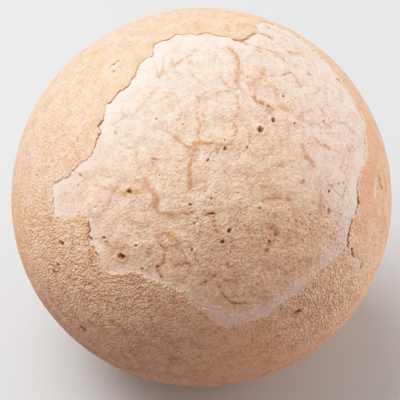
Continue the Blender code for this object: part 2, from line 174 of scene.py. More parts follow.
# Veins in the bare stone: width, shade from 0 orange to 1 dark brown, strength, and the places on the way.
VEINS = (
    (0.42, 0.2, 1.0, ((-4.6, 9.9), (-3.8, 9.6), (-3.1, 8.8), (-2.3, 8.3), (-1.6, 8.5), (-1.2, 8.9),
                      (0.6, 8.9), (2.4, 8.8), (3.4, 8.5), (4.4, 8.8))),
    (0.26, 0.3, 0.8, ((2.3, 8.5), (2.4, 7.3))),
    (0.34, 0.2, 0.9, ((4.4, 8.8), (5.0, 9.4), (5.5, 10.2), (5.8, 10.9), (5.6, 11.5), (5.0, 12.4))),
    (0.30, 0.2, 0.8, ((6.2, 13.7), (5.3, 12.8), (4.8, 12.4), (4.0, 12.3), (3.5, 11.3))),
    (0.24, 0.2, 0.6, ((3.0, 13.4), (3.5, 12.8))),
    (0.44, 0.25, 1.0, ((-1.1, 8.1), (-1.5, 7.1), (-1.6, 6.0), (-1.9, 5.2), (-2.0, 3.9), (-1.9, 2.7),
                       (-2.0, 1.4))),
    (0.30, 0.3, 0.5, ((-2.0, 1.4), (-2.3, 0.6), (-2.8, -0.4))),
    (0.32, 0.25, 0.8, ((-0.4, 15.8), (-0.9, 15.0), (-0.9, 14.0), (-0.3, 11.9), (-0.4, 10.9), (-0.4, 8.9))),
    (0.24, 0.25, 0.6, ((0.1, 15.7), (0.2, 14.5), (0.3, 13.1), (0.2, 12.1))),
    (0.24, 0.25, 0.6, ((-0.2, 10.4), (0.8, 10.1), (1.5, 10.1))),
    (0.28, 0.3, 0.8, ((-0.9, 16.7), (-0.2, 16.2), (0.5, 16.1), (1.3, 16.4), (3.0, 17.2), (4.6, 17.5))),
    (0.36, 0.35, 0.6, ((-7.0, 19.9), (-6.1, 20.9), (-4.8, 21.4), (-3.3, 22.3), (-2.0, 23.3), (-1.0, 24.2))),
    (0.22, 0.3, 0.5, ((-9.7, 16.7), (-8.1, 17.3), (-7.2, 17.9), (-6.1, 18.2))),
    (0.24, 0.3, 0.6, ((-2.4, 21.1), (-1.5, 20.2), (-0.7, 19.3), (0.8, 18.3))),
    (0.20, 0.3, 0.5, ((-0.6, 21.0), (0.3, 20.1), (0.8, 19.2))),
    (0.55, 0.35, 0.7, ((4.4, 24.6), (4.8, 24.1), (5.5, 23.5), (6.0, 22.0), (6.2, 21.7), (5.6, 19.7),
                       (5.6, 18.4))),
    (0.32, 0.4, 0.8, ((6.6, 25.6), (7.4, 25.1), (9.7, 24.5), (12.0, 23.7), (13.0, 23.1), (13.6, 22.3))),
    (0.24, 0.4, 0.7, ((9.1, 24.6), (9.5, 23.8), (10.0, 23.0))),
    (0.36, 0.6, 0.9, ((9.2, 27.0), (10.3, 26.6), (11.6, 26.0))),
    (0.18, 0.85, 0.8, ((10.8, 19.9), (13.0, 20.0), (13.9, 20.3), (14.9, 20.3), (15.6, 19.4), (16.4, 18.1))),
    (0.28, 0.3, 0.8, ((10.3, 20.3), (10.8, 18.9), (11.7, 18.3), (12.2, 17.8), (12.3, 16.6))),
    (0.24, 0.3, 0.7, ((3.0, 19.9), (3.6, 19.0), (4.4, 18.0), (5.1, 17.8), (6.1, 18.0), (6.8, 17.5))),
    (0.28, 0.3, 0.8, ((5.6, 17.1), (5.8, 16.1), (6.2, 15.0), (6.2, 13.8), (5.4, 13.0))),
    (0.34, 0.8, 0.9, ((8.7, 16.4), (9.1, 15.7), (9.9, 15.1), (10.9, 15.0), (11.7, 14.5))),
    (0.42, 0.1, 1.0, ((-9.3, 2.8), (-8.9, 1.9), (-8.3, 0.9), (-7.5, 0.3), (-7.2, -0.3), (-7.5, -1.1),
                      (-7.6, -1.8))),
    (0.38, 0.1, 0.9, ((-7.2, -2.6), (-5.6, -2.8), (-3.7, -2.9), (-1.6, -2.4))),
    (0.20, 0.4, 0.5, ((-13.5, 7.3), (-12.7, 7.8), (-11.5, 8.1), (-10.7, 8.3))),
    (0.22, 0.3, 0.5, ((-17.9, 2.1), (-16.4, 1.5), (-15.2, 1.4), (-13.5, 1.5))),
    (0.30, 0.2, 0.8, ((2.0, -2.7), (2.0, -4.6), (2.5, -6.0), (3.3, -6.8))),
    (0.34, 0.4, 0.8, ((-7.0, -7.6), (-6.0, -8.6), (-6.1, -10.0), (-7.1, -11.5), (-6.6, -13.0))),
    (0.28, 0.1, 0.9, ((-6.0, -8.6), (-5.0, -8.0), (-4.2, -7.4))),
    (0.26, 0.6, 0.8, ((-4.2, -11.0), (-2.0, -10.7))),
    (0.22, 0.5, 0.6, ((-0.3, -14.3), (1.5, -13.4), (2.7, -12.6), (4.1, -13.5), (5.9, -14.3))),
    (0.20, 0.6, 0.7, ((2.5, -14.1), (3.5, -15.6), (4.4, -16.9), (6.4, -17.5))),
    (0.36, 0.6, 0.9, ((11.6, -5.3), (12.4, -5.9), (11.2, -7.6), (10.6, -8.9))),
    (0.28, 0.4, 0.6, ((10.1, -0.3), (11.9, -0.1), (13.0, -0.1), (14.7, -0.5))),
    (0.60, 0.1, 0.6, ((16.4, 8.7), (16.7, 7.7), (17.0, 6.6), (17.7, 6.1), (18.2, 5.0))),
    (0.70, 0.4, 0.4, ((19.4, 2.8), (19.5, 1.3), (19.4, 0.0), (19.6, -1.6), (19.7, -3.0))),
    (0.22, 0.4, 0.5, ((23.6, 7.9), (23.4, 6.6), (22.8, 5.3))),
    (0.24, 0.3, 0.6, ((9.3, 7.7), (10.3, 7.8), (11.2, 8.1))),
    (0.30, 0.2, 0.4, ((14.1, 11.2), (14.1, 10.0), (13.0, 8.9))),
    (0.26, 0.5, 0.7, ((15.4, 2.5), (16.7, 2.7))),
    (0.80, 0.1, 0.9, ((8.3, 18.1), (9.1, 18.9), (9.9, 20.0), (10.2, 20.9))),
    (0.70, 0.15, 0.6, ((12.7, 14.8), (14.6, 14.3))),
    (0.36, 0.2, 0.5, ((19.1, 15.0), (20.0, 13.8))),
    (0.22, 0.5, 0.5, ((18.3, 16.9), (19.4, 17.7))),
    (0.50, 0.15, 0.6, ((18.3, 10.2), (19.1, 9.1))),
    (0.50, 0.15, 0.7, ((19.6, 8.9), (20.8, 8.1))),
    (0.34, 0.15, 0.7, ((-14.3, 1.1), (-13.0, 0.6), (-11.8, 0.6), (-10.7, 1.2), (-10.0, 0.8))),
    (0.34, 0.3, 0.6, ((-15.9, -7.0), (-14.7, -8.2), (-13.4, -8.6), (-12.2, -8.0))),
    (0.36, 0.0, 1.0, ((-6.9, -6.4), (-5.8, -6.0), (-4.5, -6.3), (-3.9, -7.3), (-4.6, -8.0))),
    (0.34, 1.0, 1.0, ((20.9, -2.1), (20.8, -2.8))),
    (0.22, 1.0, 0.9, ((17.5, 20.4), (18.0, 20.1))),
    (0.20, 1.0, 0.9, ((-8.1, 6.3), (-7.6, 6.0))),
    (0.22, 1.0, 0.8, ((1.0, -2.8), (2.2, -2.7))),
    (0.30, 1.0, 0.9, ((10.2, 28.4), (10.9, 28.0))),
    (0.24, 0.4, 0.6, ((10.0, 26.6), (10.9, 26.2), (11.6, 25.9))),
    (0.22, 0.4, 0.8, ((7.2, 25.2), (8.3, 24.8), (9.2, 24.5), (10.2, 24.3), (11.4, 23.9), (12.3, 23.5))),
    (0.44, 0.2, 0.9, ((9.1, 24.5), (9.6, 23.8), (9.9, 23.0))),
    (0.60, 0.1, 0.8, ((14.4, 23.8), (15.4, 23.6), (16.3, 23.7))),
    (0.50, 0.1, 0.6, ((15.2, 24.6), (16.2, 24.4))),
    (0.40, 0.5, 0.9, ((8.6, 16.5), (9.3, 15.8), (10.1, 15.3), (10.9, 14.4), (11.5, 14.0))),
    (0.50, 0.5, 0.9, ((11.0, -4.8), (11.9, -5.1), (12.4, -5.6), (11.8, -6.4))),
    (0.40, 0.4, 0.7, ((15.0, -3.1), (15.6, -4.0), (16.4, -4.1))),
    (0.40, 0.4, 0.5, ((13.9, -6.7), (14.8, -6.6))),
    (0.40, 0.3, 0.4, ((13.0, -8.4), (14.5, -8.1))),
    (0.20, 0.6, 0.6, ((0.6, -10.2), (2.2, -10.2))),
    (0.24, 0.6, 0.7, ((3.4, -10.4), (4.5, -10.7), (4.8, -11.5))),
    (0.20, 0.7, 0.6, ((2.6, -12.3), (1.9, -13.0), (1.4, -13.6), (0.2, -14.3))),
    (0.20, 0.6, 0.6, ((3.2, -13.1), (4.2, -13.6), (5.3, -14.0))),
    (0.20, 0.7, 0.6, ((4.7, -17.1), (5.3, -17.5), (7.1, -17.4))),
    (0.20, 0.7, 0.5, ((12.8, -11.5), (14.0, -12.5))),
    (0.20, 0.7, 0.4, ((16.1, -10.5), (15.3, -11.8), (14.2, -14.0))),
    (0.24, 1.0, 0.9, ((-18.4, -4.9), (-18.2, -5.5))),
    (0.22, 1.0, 0.9, ((-18.3, -6.5), (-18.0, -7.0))),
    (0.24, 1.0, 0.9, ((-17.7, -8.2), (-17.4, -8.9), (-17.1, -9.6))),
)
# Dark cracks and thin veins in the crust.
CRACKS = (
    (0.22, 0.9, 0.9, ((24.6, -8.3), (24.9, -9.2), (25.0, -9.9))),
    (0.20, 0.9, 0.9, ((26.4, -10.6), (26.1, -11.5))),
    (0.20, 0.9, 0.8, ((29.1, 3.2), (29.6, 1.2))),
    (0.30, 0.9, 0.9, ((-15.0, 21.5), (-14.6, 21.9), (-14.2, 21.9))),
    (0.26, 0.9, 0.9, ((-14.1, 22.3), (-13.6, 22.5))),
    (0.22, 0.9, 0.9, ((-19.7, -21.3), (-18.9, -21.9))),
    (0.18, 0.8, 0.9, ((-20.4, 9.8), (-20.2, 9.2))),
    (0.26, 0.9, 0.9, ((25.7, 0.2), (25.8, -1.0))),
    (0.22, 0.9, 0.8, ((24.5, -8.3), (24.7, -9.3), (25.2, -9.9))),
    (0.20, 0.5, 0.5, ((4.6, 28.8), (6.0, 28.2), (7.4, 27.7), (8.6, 27.4), (9.1, 27.0))),
    (0.18, 0.5, 0.5, ((4.4, 28.1), (4.6, 27.0), (4.8, 26.2))),
    (0.34, 0.2, 0.8, ((-1.0, 28.8), (-0.8, 27.7))),
    (0.34, 0.3, 0.7, ((4.2, 28.3), (4.4, 27.4), (4.7, 26.5))),
    (0.30, 0.4, 0.7, ((4.3, 28.9), (5.3, 28.8))),
    (0.50, 0.2, 0.6, ((-20.8, 24.4), (-20.0, 23.9), (-19.6, 23.1), (-19.7, 22.2), (-19.3, 21.6))),
    (0.40, 0.3, 0.6, ((-25.2, 8.0), (-24.5, 8.9), (-23.6, 9.2), (-23.1, 10.0), (-22.4, 10.2))),
    (0.26, 0.2, 0.7, ((5.6, 28.3), (6.0, 27.9), (7.4, 27.4), (9.0, 27.1))),
    (0.34, 0.6, 0.9, ((5.2, 26.0), (6.6, 25.8), (7.6, 26.3), (8.3, 26.7), (9.0, 27.0))),
    (0.16, 0.8, 0.6, ((10.9, -19.2), (11.6, -19.3))),
    (0.18, 0.6, 0.5, ((7.6, -21.7), (7.1, -22.7))),
    (0.18, 0.6, 0.5, ((8.3, -22.3), (8.3, -24.0))),
    (0.18, 0.6, 0.5, ((13.0, -23.8), (12.2, -24.6))),
    (0.18, 0.6, 0.5, ((14.5, -24.4), (15.0, -24.6))),
    (0.18, 0.6, 0.5, ((9.1, -25.8), (10.4, -25.1))),
    (0.18, 0.6, 0.5, ((6.3, -26.2), (7.9, -26.1), (9.3, -25.9))),
    (0.18, 0.6, 0.5, ((9.2, -27.6), (8.4, -27.9))),
    (0.18, 0.6, 0.5, ((9.9, -20.0), (10.6, -20.6))),
    (0.30, 0.9, 0.9, ((-19.9, -21.0), (-19.2, -21.5), (-18.9, -21.9))),
    (0.30, 0.8, 0.8, ((29.2, 3.7), (29.3, 2.4), (29.6, 1.4))),
    (0.26, 0.9, 0.9, ((27.9, 2.4), (28.0, 1.7))),
)
# Chips in the crust: right, up, half length, half width, turn in degrees, depth.
CHIPS = (
    (25.1, -10.4, 1.7, 0.9, -42, 0.14),
    (28.6, 1.9, 1.7, 0.7, 84, 0.16),
    (-14.3, 21.5, 0.8, 0.30, 35, 0.10),
    (-19.3, -21.5, 0.6, 0.30, -34, 0.16),
)

# ---------------------------------------------------------------- relief, in millimetres
GRAIN_LEAST = 0.25  # the grainy crust has fine points from this share up
BACK_BEGINS = -0.1  # how far out of the face, in radii
STONE_ENDS = 0.2  # the fine stone lies farther out than this
FAR_UNDER = -9.0  # distance from the broken edge that stands for all the stone well under the crust
EDGE_ROWS = (0.14, 0.32)  # rows of points outside the broken edge
EDGE_TEETH = ((0.14, 21), (0.20, 60), (0.18, 130))  # reach and fineness of its teeth
EDGE_NOTCHES = ((0.16, 34), (0.18, 71))  # and of the steps in it
EDGE_SEED = 5  # the teeth are the same in each run
KNOT_POINTS = 30  # a knot that the teeth tie has fewer points than this
WALL_ROWS = ((0.07, 0.4), (0.16, 0.8), (0.30, 1.0), (0.90, 0.0))  # depth, and share of its lean
UNDERCUT = -0.04  # how far the wall leans back where it looks down
LOW_SLOPE = 0.14  # and how far it slopes inward along the lower edges
SLOPE_BAND = (-0.2, 0.75)  # between these, by how far the way inward points up
WALL_NOISE = 0.10
WALL_FINENESS = 45
WALL_DRIFT = 9  # how fast that noise changes with depth
WALL_SKIN = 0.25  # share of the relief that the wall takes on
LIP_ROUNDING = 0.04
LIP_WIDTH = 0.16
HIDDEN_DROP = 0.25  # the stone lies lower where the crust covers it
STONE_FLOOR = 0.4
INSIDE_FLOOR = 0.8

STONE_WAVINESS = 0.30
STONE_ROUGHNESS = 0.05
CRUST_ROUGHNESS = 0.07
GRAIN_HEIGHT = 0.12
GRAIN_SIZE = 0.42
LARGE_GRAINS = 1.6  # some grains are this many times as large
PIT_DEPTH = 0.85  # shares of a pit's radius
PIT_RIM = 0.22
PIT_FLOOR = (0.3, 1.05)  # its floor slopes up between these
PIT_RIM_INSIDE = (0.85, 1.15)  # its rim rises between these
PIT_RIM_OUTSIDE = (1.15, 1.9)  # and falls between these
DEEP_RADII = (0.3, 0.55)  # pits are shallow up to the first radius and deep from the second
FARTHEST = 6.0  # distances from marks are told apart up to this many of the mark's sizes
VEIN_DEPTH = 0.02
SLIT_DEPTH = 0.25
CRACK_DEPTH = 0.26
STONE_BUMP = 0.26
CRUST_BUMP = 0.28
GRAIN_BUMP = 0.34
SAND_REACH = 1.35  # sand thins out round a grainy patch over this many times its reach
STONE_MATTNESS = 0.75
CRUST_MATTNESS = 0.8
SHEEN = 0.25  # of both
STREAK = (0.8, 0.6)  # the stone's roughness is drawn out this way, right and up
STREAKINESS = 0.22
ROUGH_HEART = (3.0, -7.0)  # the stone is roughest round this place, right and up
ROUGH_REACH = (8.0, 18.0)
TAN_PLACE = (13.0, -6.0)  # and browner round this one

FOOT_RADIUS = 7.0
FOOT_CLEARANCE = 2
HIDDEN_PITS = 26
HIDDEN_SEED = 7
HIDDEN_RADII = (0.3, 0.55)
HIDDEN_BAND = (-0.95, -0.05)  # how far out of the face they lie, in radii
HIDDEN_STAIN = 0.3
PIT_CLEARANCE = 1.75

# ---------------------------------------------------------------- colours
STONE_BUFF = (0.89, 0.555, 0.415)
STONE_PALE = (0.93, 0.61, 0.475)
STONE_CREAM = (0.95, 0.63, 0.465)
STONE_PINK = (0.83, 0.495, 0.40)
STONE_YELLOW = (0.85, 0.555, 0.36)
STONE_DUSK = (0.73, 0.44, 0.33)
STONE_SHADE = (0.60, 0.37, 0.27)
STONE_WARM = (0.98, 0.71, 0.54)
STONE_WHITE = (1.0, 0.765, 0.655)
STONE_ROSE = (1.0, 0.62, 0.54)
STONE_LILAC = (0.88, 0.66, 0.63)
# Painted shade for the stone's bottom tip
STONE_TIP_SHADE = (0.80, 0.53, 0.39)
STONE_TAN = (0.87, 0.54, 0.39)
VEIN_ORANGE = (0.68, 0.365, 0.235)
VEIN_RED = (0.68, 0.38, 0.28)
VEIN_BROWN = (0.42, 0.20, 0.105)
STAIN = (0.66, 0.35, 0.17)
PIT_BROWN = (0.46, 0.26, 0.145)
PIT_DARK = (0.24, 0.135, 0.07)
CRUST_PALE = (0.87, 0.47, 0.335)
CRUST_CREAM = (0.91, 0.53, 0.39)
CRUST_TAN = (0.92, 0.54, 0.375)
CRUST_BROWN = (0.84, 0.495, 0.335)
CRUST_DUSK = (0.68, 0.365, 0.25)
CRUST_SAND = (1.0, 0.61, 0.465)
# Pale sand, also used as painted highlight on the tallest grains
CRUST_BRIGHT = (1.0, 0.69, 0.52)
CRUST_ORANGE = (0.82, 0.45, 0.26)
CRUST_TAN_ORANGE = (0.89, 0.44, 0.28)
CRUST_PINK = (0.82, 0.49, 0.39)
# Dark specks and faint lines, also used as painted shade between the grains
CRUST_GAP = (0.55, 0.30, 0.19)
# Stains round the crust's pits, and painted shade over its bottom
CRUST_STAIN_AND_SHADE = (0.74, 0.37, 0.22)
# Painted shade on the broken edge's wall at the upper left, and the dark seam along the window's right edge
EDGE_SHADE_AND_SEAM = (0.34, 0.20, 0.11)
# Painted highlight: the lip and wall of the broken edge where they face the light
CRUST_LIP_HIGHLIGHT = (0.96, 0.74, 0.55)
CRACK_BROWN = (0.24, 0.12, 0.06)
CHIP_PALE = (0.95, 0.74, 0.62)

# ---------------------------------------------------------------- camera, light and floor, in metres
CAMERA_LENS = 192.3  # and its sensor, in millimetres
CAMERA_SENSOR = 36
CAMERA_RIGHT = -0.25
CAMERA_UP = -0.38
LIGHT_DISTANCE = 0.4
LIGHT_SIZE = 0.38
LIGHTS = (
    ("main light", (-0.43, 0.25, 0.87), 1.07),
    ("left light", (-0.75, 0.13, 0.64), 0.30),
    ("right light", (0.97, 0.17, 0.12), 0.62),
)
SKY_ABOVE = 0.45
SKY_BELOW = 0.335
SKY_BAND = (-0.25, 0.35)  # the height over which one turns into the other
# The picture's tones: light on the stone, and how bright it comes out.
TONES = ((0.1, 0.07), (0.2, 0.17), (0.4, 0.42), (0.6, 0.63), (0.8, 0.78), (1.0, 0.88), (1.3, 0.97))
BRIGHTEST = 1.6
WALL_TONE = 0.75
FLOOR_SIZE = 3.0
FLOOR_COLOUR = (0.62, 0.62, 0.62, 1.0)
FLOOR_ROUGHNESS = 0.9
BOX_MARGIN = 1e-6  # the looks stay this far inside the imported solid's box

FACE_OUT = Vector((0, -math.cos(FACE_TILT), math.sin(FACE_TILT)))
FACE_UP = Vector((0, math.sin(FACE_TILT), math.cos(FACE_TILT)))
FACE_RIGHT = Vector((1, 0, 0))
FACE_AXES = np.array((FACE_RIGHT, FACE_UP, FACE_OUT))  # (right, up, out) times this is in the frame's axes


# ---------------------------------------------------------------- places on the egg
def on_face(right, up, radius=EGG_RADIUS):
    """The direction from the egg's middle to the place (right, up), on a surface of this radius."""
    eye = Vector((0, 0, EYE_DISTANCE))
    line = (Vector((right, up, 0)) - eye).normalized()
    along = -eye.dot(line)
    reach = radius**2 - (EYE_DISTANCE**2 - along**2)
    return (eye + line * (along - math.sqrt(max(reach, 0)))).normalized()


def on_stone(right, up):
    """The same for a place on the bare stone, which lies deeper."""
    depth = crust_depth(np.array([on_face(right, up)]))[0]
    return on_face(right, up, EGG_RADIUS - depth)


def to_map(directions):
    """Directions on a flat map with the face in its middle, which keeps angles and circles."""
    return directions[:, :2] / (1 + directions[:, 2:])


def from_map(points):
    square = (points**2).sum(1, keepdims=True)
    return np.hstack((2 * points, 1 - square)) / (1 + square)


def map_length(length, points):
    """A length on the egg, in mm, as a length on the map at these points."""
    return length * (1 + (points**2).sum(1)) / (2 * EGG_RADIUS)


def angles_to(directions, heart):
    heart = np.array(heart, float)
    return np.arccos(np.clip(directions @ heart / np.linalg.norm(heart), -1, 1))


def body_radius(directions):
    radius = np.full(len(directions), EGG_RADIUS)
    for right, up, out, height, reach in SWELLS:
        angle = angles_to(directions, (right, up, out))
        radius += height * np.exp(-((angle / math.radians(reach)) ** 2))
    return radius


def smooth_step(values, low, high):
    share = np.clip((values - low) / (high - low), 0, 1)
    return share * share * (3 - 2 * share)


def crust_depth(directions):
    """How thick the crust is; it thins toward the lower right of the face."""
    toward = directions @ np.array(THINNING_WAY)
    depth = CRUST_DEPTH + (LOW_DEPTH - CRUST_DEPTH) * smooth_step(toward, *THINNING_BAND)
    depth += (TOP_DEPTH - CRUST_DEPTH) * smooth_step(directions[:, 1], *TOP_BAND)
    right, up, reach = SHALLOW_BAY
    bay = np.exp(-((EGG_RADIUS * angles_to(directions, on_face(right, up)) / reach) ** 4))
    depth += (BAY_DEPTH - depth) * bay
    unevenness = np.array([noise.noise(Vector(d) * DEPTH_FINENESS) for d in directions])
    return depth * (DEPTH_LEAST + DEPTH_SWING * smooth_step(unevenness, -0.3, 0.3))


def graininess(directions, widened=1.0):
    """From 0 on the smooth crust to 1 in the middle of a grainy patch."""
    share = np.zeros(len(directions))
    for right, up, reach in GRAIN_PATCHES:
        distance = EGG_RADIUS * angles_to(directions, on_face(right, up))
        share = np.maximum(share, np.exp(-((distance / (reach * widened)) ** 4)))
    return share


def spiral(spacing):
    """Directions spread evenly over the egg, this many mm apart, on a spiral round the face's axis."""
    count = round(4 * math.pi * EGG_RADIUS**2 / (spacing**2 * math.sqrt(3) / 2))
    step = np.arange(count) + 0.5
    out = 1 - 2 * step / count
    across = np.sqrt(1 - out**2)
    turn = math.pi * (3 - math.sqrt(5)) * step
    return np.column_stack((across * np.cos(turn), across * np.sin(turn), out))


def is_inside(points, loop):
    """True where a line from the point to the right crosses the loop an odd number of times."""
    inside = np.zeros(len(points), bool)
    near = np.flatnonzero(np.all((points > loop.min(0)) & (points < loop.max(0)), axis=1))
    x, y = points[near].T
    found = np.zeros(len(near), bool)
    for (ax, ay), (bx, by) in zip(loop, np.roll(loop, -1, axis=0)):
        if ay != by:
            found ^= ((ay > y) != (by > y)) & (x < ax + (y - ay) * (bx - ax) / (by - ay))
    inside[near] = found
    return inside


def distance_to(places, directions):
    """Distance in mm from each direction to the nearest of the places."""
    tree = kdtree.KDTree(len(places))
    for index, place in enumerate(places):
        tree.insert(place, index)
    tree.balance()
    return EGG_RADIUS * np.array([tree.find(d)[2] for d in directions])


# ---------------------------------------------------------------- the broken edge
def ragged_edge():
    """The top of the broken edge on the map, anticlockwise, with fine teeth between the given places."""
    corners = to_map(np.array([on_face(*place) for place in reversed(WINDOW_EDGE)]))
    loop = []
    for here, there in zip(corners, np.roll(corners, -1, axis=0)):
        length = np.linalg.norm(there - here) / map_length(1, here[None])[0]
        steps = math.ceil(length / EDGE_STEP)
        loop += [here + (there - here) * step / steps for step in range(steps)]
    loop = np.array(loop)
    noise.seed_set(EDGE_SEED)
    teeth = np.zeros((len(loop), 3))
    for height, fineness in EDGE_TEETH:
        teeth += height * np.array([noise.noise_vector(Vector(d) * fineness) for d in from_map(loop)])
    for height, fineness in EDGE_NOTCHES:
        teeth += height * (np.array([noise.cell_vector(Vector(d) * fineness) for d in from_map(loop)]) - 0.5)
    return untangled(loop + teeth[:, :2] * map_length(1, loop)[:, None])


def cross(first, second):
    return first[:, 0] * second[:, 1] - first[:, 1] * second[:, 0]


def untangled(loop):
    """The loop without the small knots that its teeth may tie: the points of each are dropped."""
    kept = np.ones(len(loop), bool)
    ahead = np.roll(loop, -1, axis=0) - loop
    for gap in range(2, KNOT_POINTS):
        other, across = np.roll(ahead, -gap, axis=0), np.roll(loop, -gap, axis=0) - loop
        turn = cross(ahead, other)
        turn[turn == 0] = 1e-30
        here, there = cross(across, other) / turn, cross(across, ahead) / turn
        for index in np.flatnonzero((here >= 0) & (here <= 1) & (there >= 0) & (there <= 1)):
            kept[(index + 1 + np.arange(gap)) % len(loop)] = False
    return loop if kept.all() else untangled(loop[kept])


def inward_of(loop):
    """The way into the window at each point of the loop, which has the window on its left."""
    along = sum(np.roll(loop, -step, axis=0) - np.roll(loop, step, axis=0) for step in range(1, 5))
    along /= np.linalg.norm(along, axis=1, keepdims=True)
    return np.column_stack((-along[:, 1], along[:, 0]))


def ring_edges(start, count):
    return [(start + step, start + (step + 1) % count) for step in range(count)]


def back_ring(spacing):
    """The outermost points of the map, round the point opposite the face."""
    round_it = 2 * math.pi * EGG_RADIUS * math.sin(BACK_RING_ANGLE)
    count = max(BACK_RING_LEAST, round(round_it / spacing))
    angle = 2 * math.pi * np.arange(count) / count
    return math.tan(BACK_RING_ANGLE / 2) * np.column_stack((np.cos(angle), np.sin(angle)))


def spread(spacing):
    """Directions this many mm apart, all over the egg but for the back ring."""
    directions = spiral(spacing)
    return directions[angles_to(directions, (0, 0, 1)) < BACK_RING_ANGLE - spacing / EGG_RADIUS / 2]


def off_window(directions, rim, loop, margin):
    """The directions that are farther than this, in mm, outside the broken edge."""
    directions = directions[distance_to(rim, directions) > margin]
    return directions[~is_inside(to_map(directions), loop)]


def joined_up(points, loop_count, ring_count):
    """Triangles between the map's points, from the loop to the back ring, and the fan behind them."""
    edges = ring_edges(0, loop_count) if loop_count else []
    found = geometry.delaunay_2d_cdt([Vector(p) for p in points], edges, [], 0, 1e-10)
    triangles = np.array([[found[3][corner][0] for corner in face] for face in found[2]])
    pole = len(points)
    fan = [(b, a, pole) for a, b in ring_edges(pole - ring_count, ring_count)]
    return triangles, np.array(fan)


def outside(triangles, points, loop):
    """The triangles that aren't in the loop. Its points come first."""
    doubtful = np.flatnonzero((triangles < len(loop)).all(1))
    middles = points[triangles[doubtful]].mean(1)
    kept = np.ones(len(triangles), bool)
    kept[doubtful[is_inside(middles, loop)]] = False
    return triangles[kept]


# ---------------------------------------------------------------- meshes
def in_frame(directions, radii):
    """Places in the frame, in mm, at these radii along these directions."""
    return directions * np.asarray(radii)[..., None] @ FACE_AXES + MIDDLE


def off_floor(places, lowest):
    """The places, drawn toward the egg's middle where they are lower than this."""
    down = MIDDLE[2] - places[:, 2]
    share = np.minimum(1, (MIDDLE[2] - lowest) / np.maximum(down, 1e-9))
    return MIDDLE + (places - MIDDLE) * np.where(down > 0, share, 1)[:, None]


def linked(name, data):
    """A new object of the scene, which shows this mesh, light or camera."""
    made = bpy.data.objects.new(name, data)
    bpy.context.scene.collection.objects.link(made)
    return made


def new_object(name, places, edges, faces, numbers, domain):
    """An object from places in mm, which carries these numbers at its points or edges."""
    mesh = bpy.data.meshes.new(name)
    mesh.from_pydata((places * MM).tolist(), edges, faces)
    for label, values in numbers.items():
        layer = mesh.attributes.new(label, "FLOAT", domain)
        layer.data.foreach_set("value", np.ascontiguousarray(values, np.float32))
    return linked(name, mesh)


def make_piece(name, places, triangles, numbers):
    """A smooth piece that carries these numbers at its points."""
    piece = new_object(name, places, [], triangles.tolist(), numbers, "POINT")
    piece.data.shade_smooth()
    return piece


def stone_body(loop):
    """The stone as a closed body: fine where the window shows it, coarse and a little lower elsewhere."""
    rim = from_map(loop)
    fine = spiral(STONE_STEP)
    fine = fine[fine[:, 2] > STONE_ENDS]
    edge = distance_to(rim, fine)
    inner = is_inside(to_map(fine), loop)
    shown = inner | (edge < WINDOW_MARGIN)
    fine, edge, inner = fine[shown], edge[shown], inner[shown]

    coarse = off_window(spread(HIDDEN_STEP), rim, loop, WINDOW_MARGIN + HIDDEN_STEP / 2)
    ring = back_ring(HIDDEN_STEP)

    points = np.vstack((to_map(fine), to_map(coarse), ring))
    triangles, fan = joined_up(points, 0, len(ring))
    directions = np.vstack((fine, coarse, from_map(ring), (0, 0, -1)))
    hidden = len(directions) - len(fine)
    signed = np.concatenate((np.where(inner, edge, -edge), np.full(hidden, FAR_UNDER)))
    under = 1 - np.clip(1 + signed / WINDOW_MARGIN, 0, 1)
    radii = body_radius(directions) - crust_depth(directions) - HIDDEN_DROP * under
    places = off_floor(in_frame(directions, radii), STONE_FLOOR)
    numbers = {"skin": 1 - under, "edge": signed}
    return make_piece("stone", places, np.vstack((triangles, fan)), numbers)


def marked_places():
    """Directions along the crust's cracks and chips, and of its pits and spots."""
    places = [on_face(*mark[:2]) for mark in CRUST_PITS + CRUST_SPOTS]
    places += [direction for direction, radius in hidden_pits()]
    for line in (*CRACKS, *chip_lines()):
        for here, there in zip(line[3], line[3][1:]):
            steps = math.ceil(math.dist(here, there) / MARK_REACH * 2)
            places += [on_face(*Vector(here).lerp(Vector(there), step / steps)) for step in range(steps + 1)]
    return places


def crust_zones(rim, loop):
    """Directions over the crust: close together where it is coarse or marked, wider where it is smooth."""
    marks = marked_places()
    kept = []
    for zone, spacing in enumerate((GRAIN_STEP, MARK_STEP, FRONT_STEP, BACK_STEP)):
        directions = spread(spacing)
        grainy = graininess(directions) > GRAIN_LEAST
        marked = distance_to(marks, directions) < MARK_REACH
        kinds = [grainy, marked, directions[:, 2] > BACK_BEGINS]
        directions = directions[np.select(kinds, range(3), 3) == zone]
        kept.append(off_window(directions, rim, loop, EDGE_ROWS[-1] + spacing / 2))
    return np.vstack(kept)


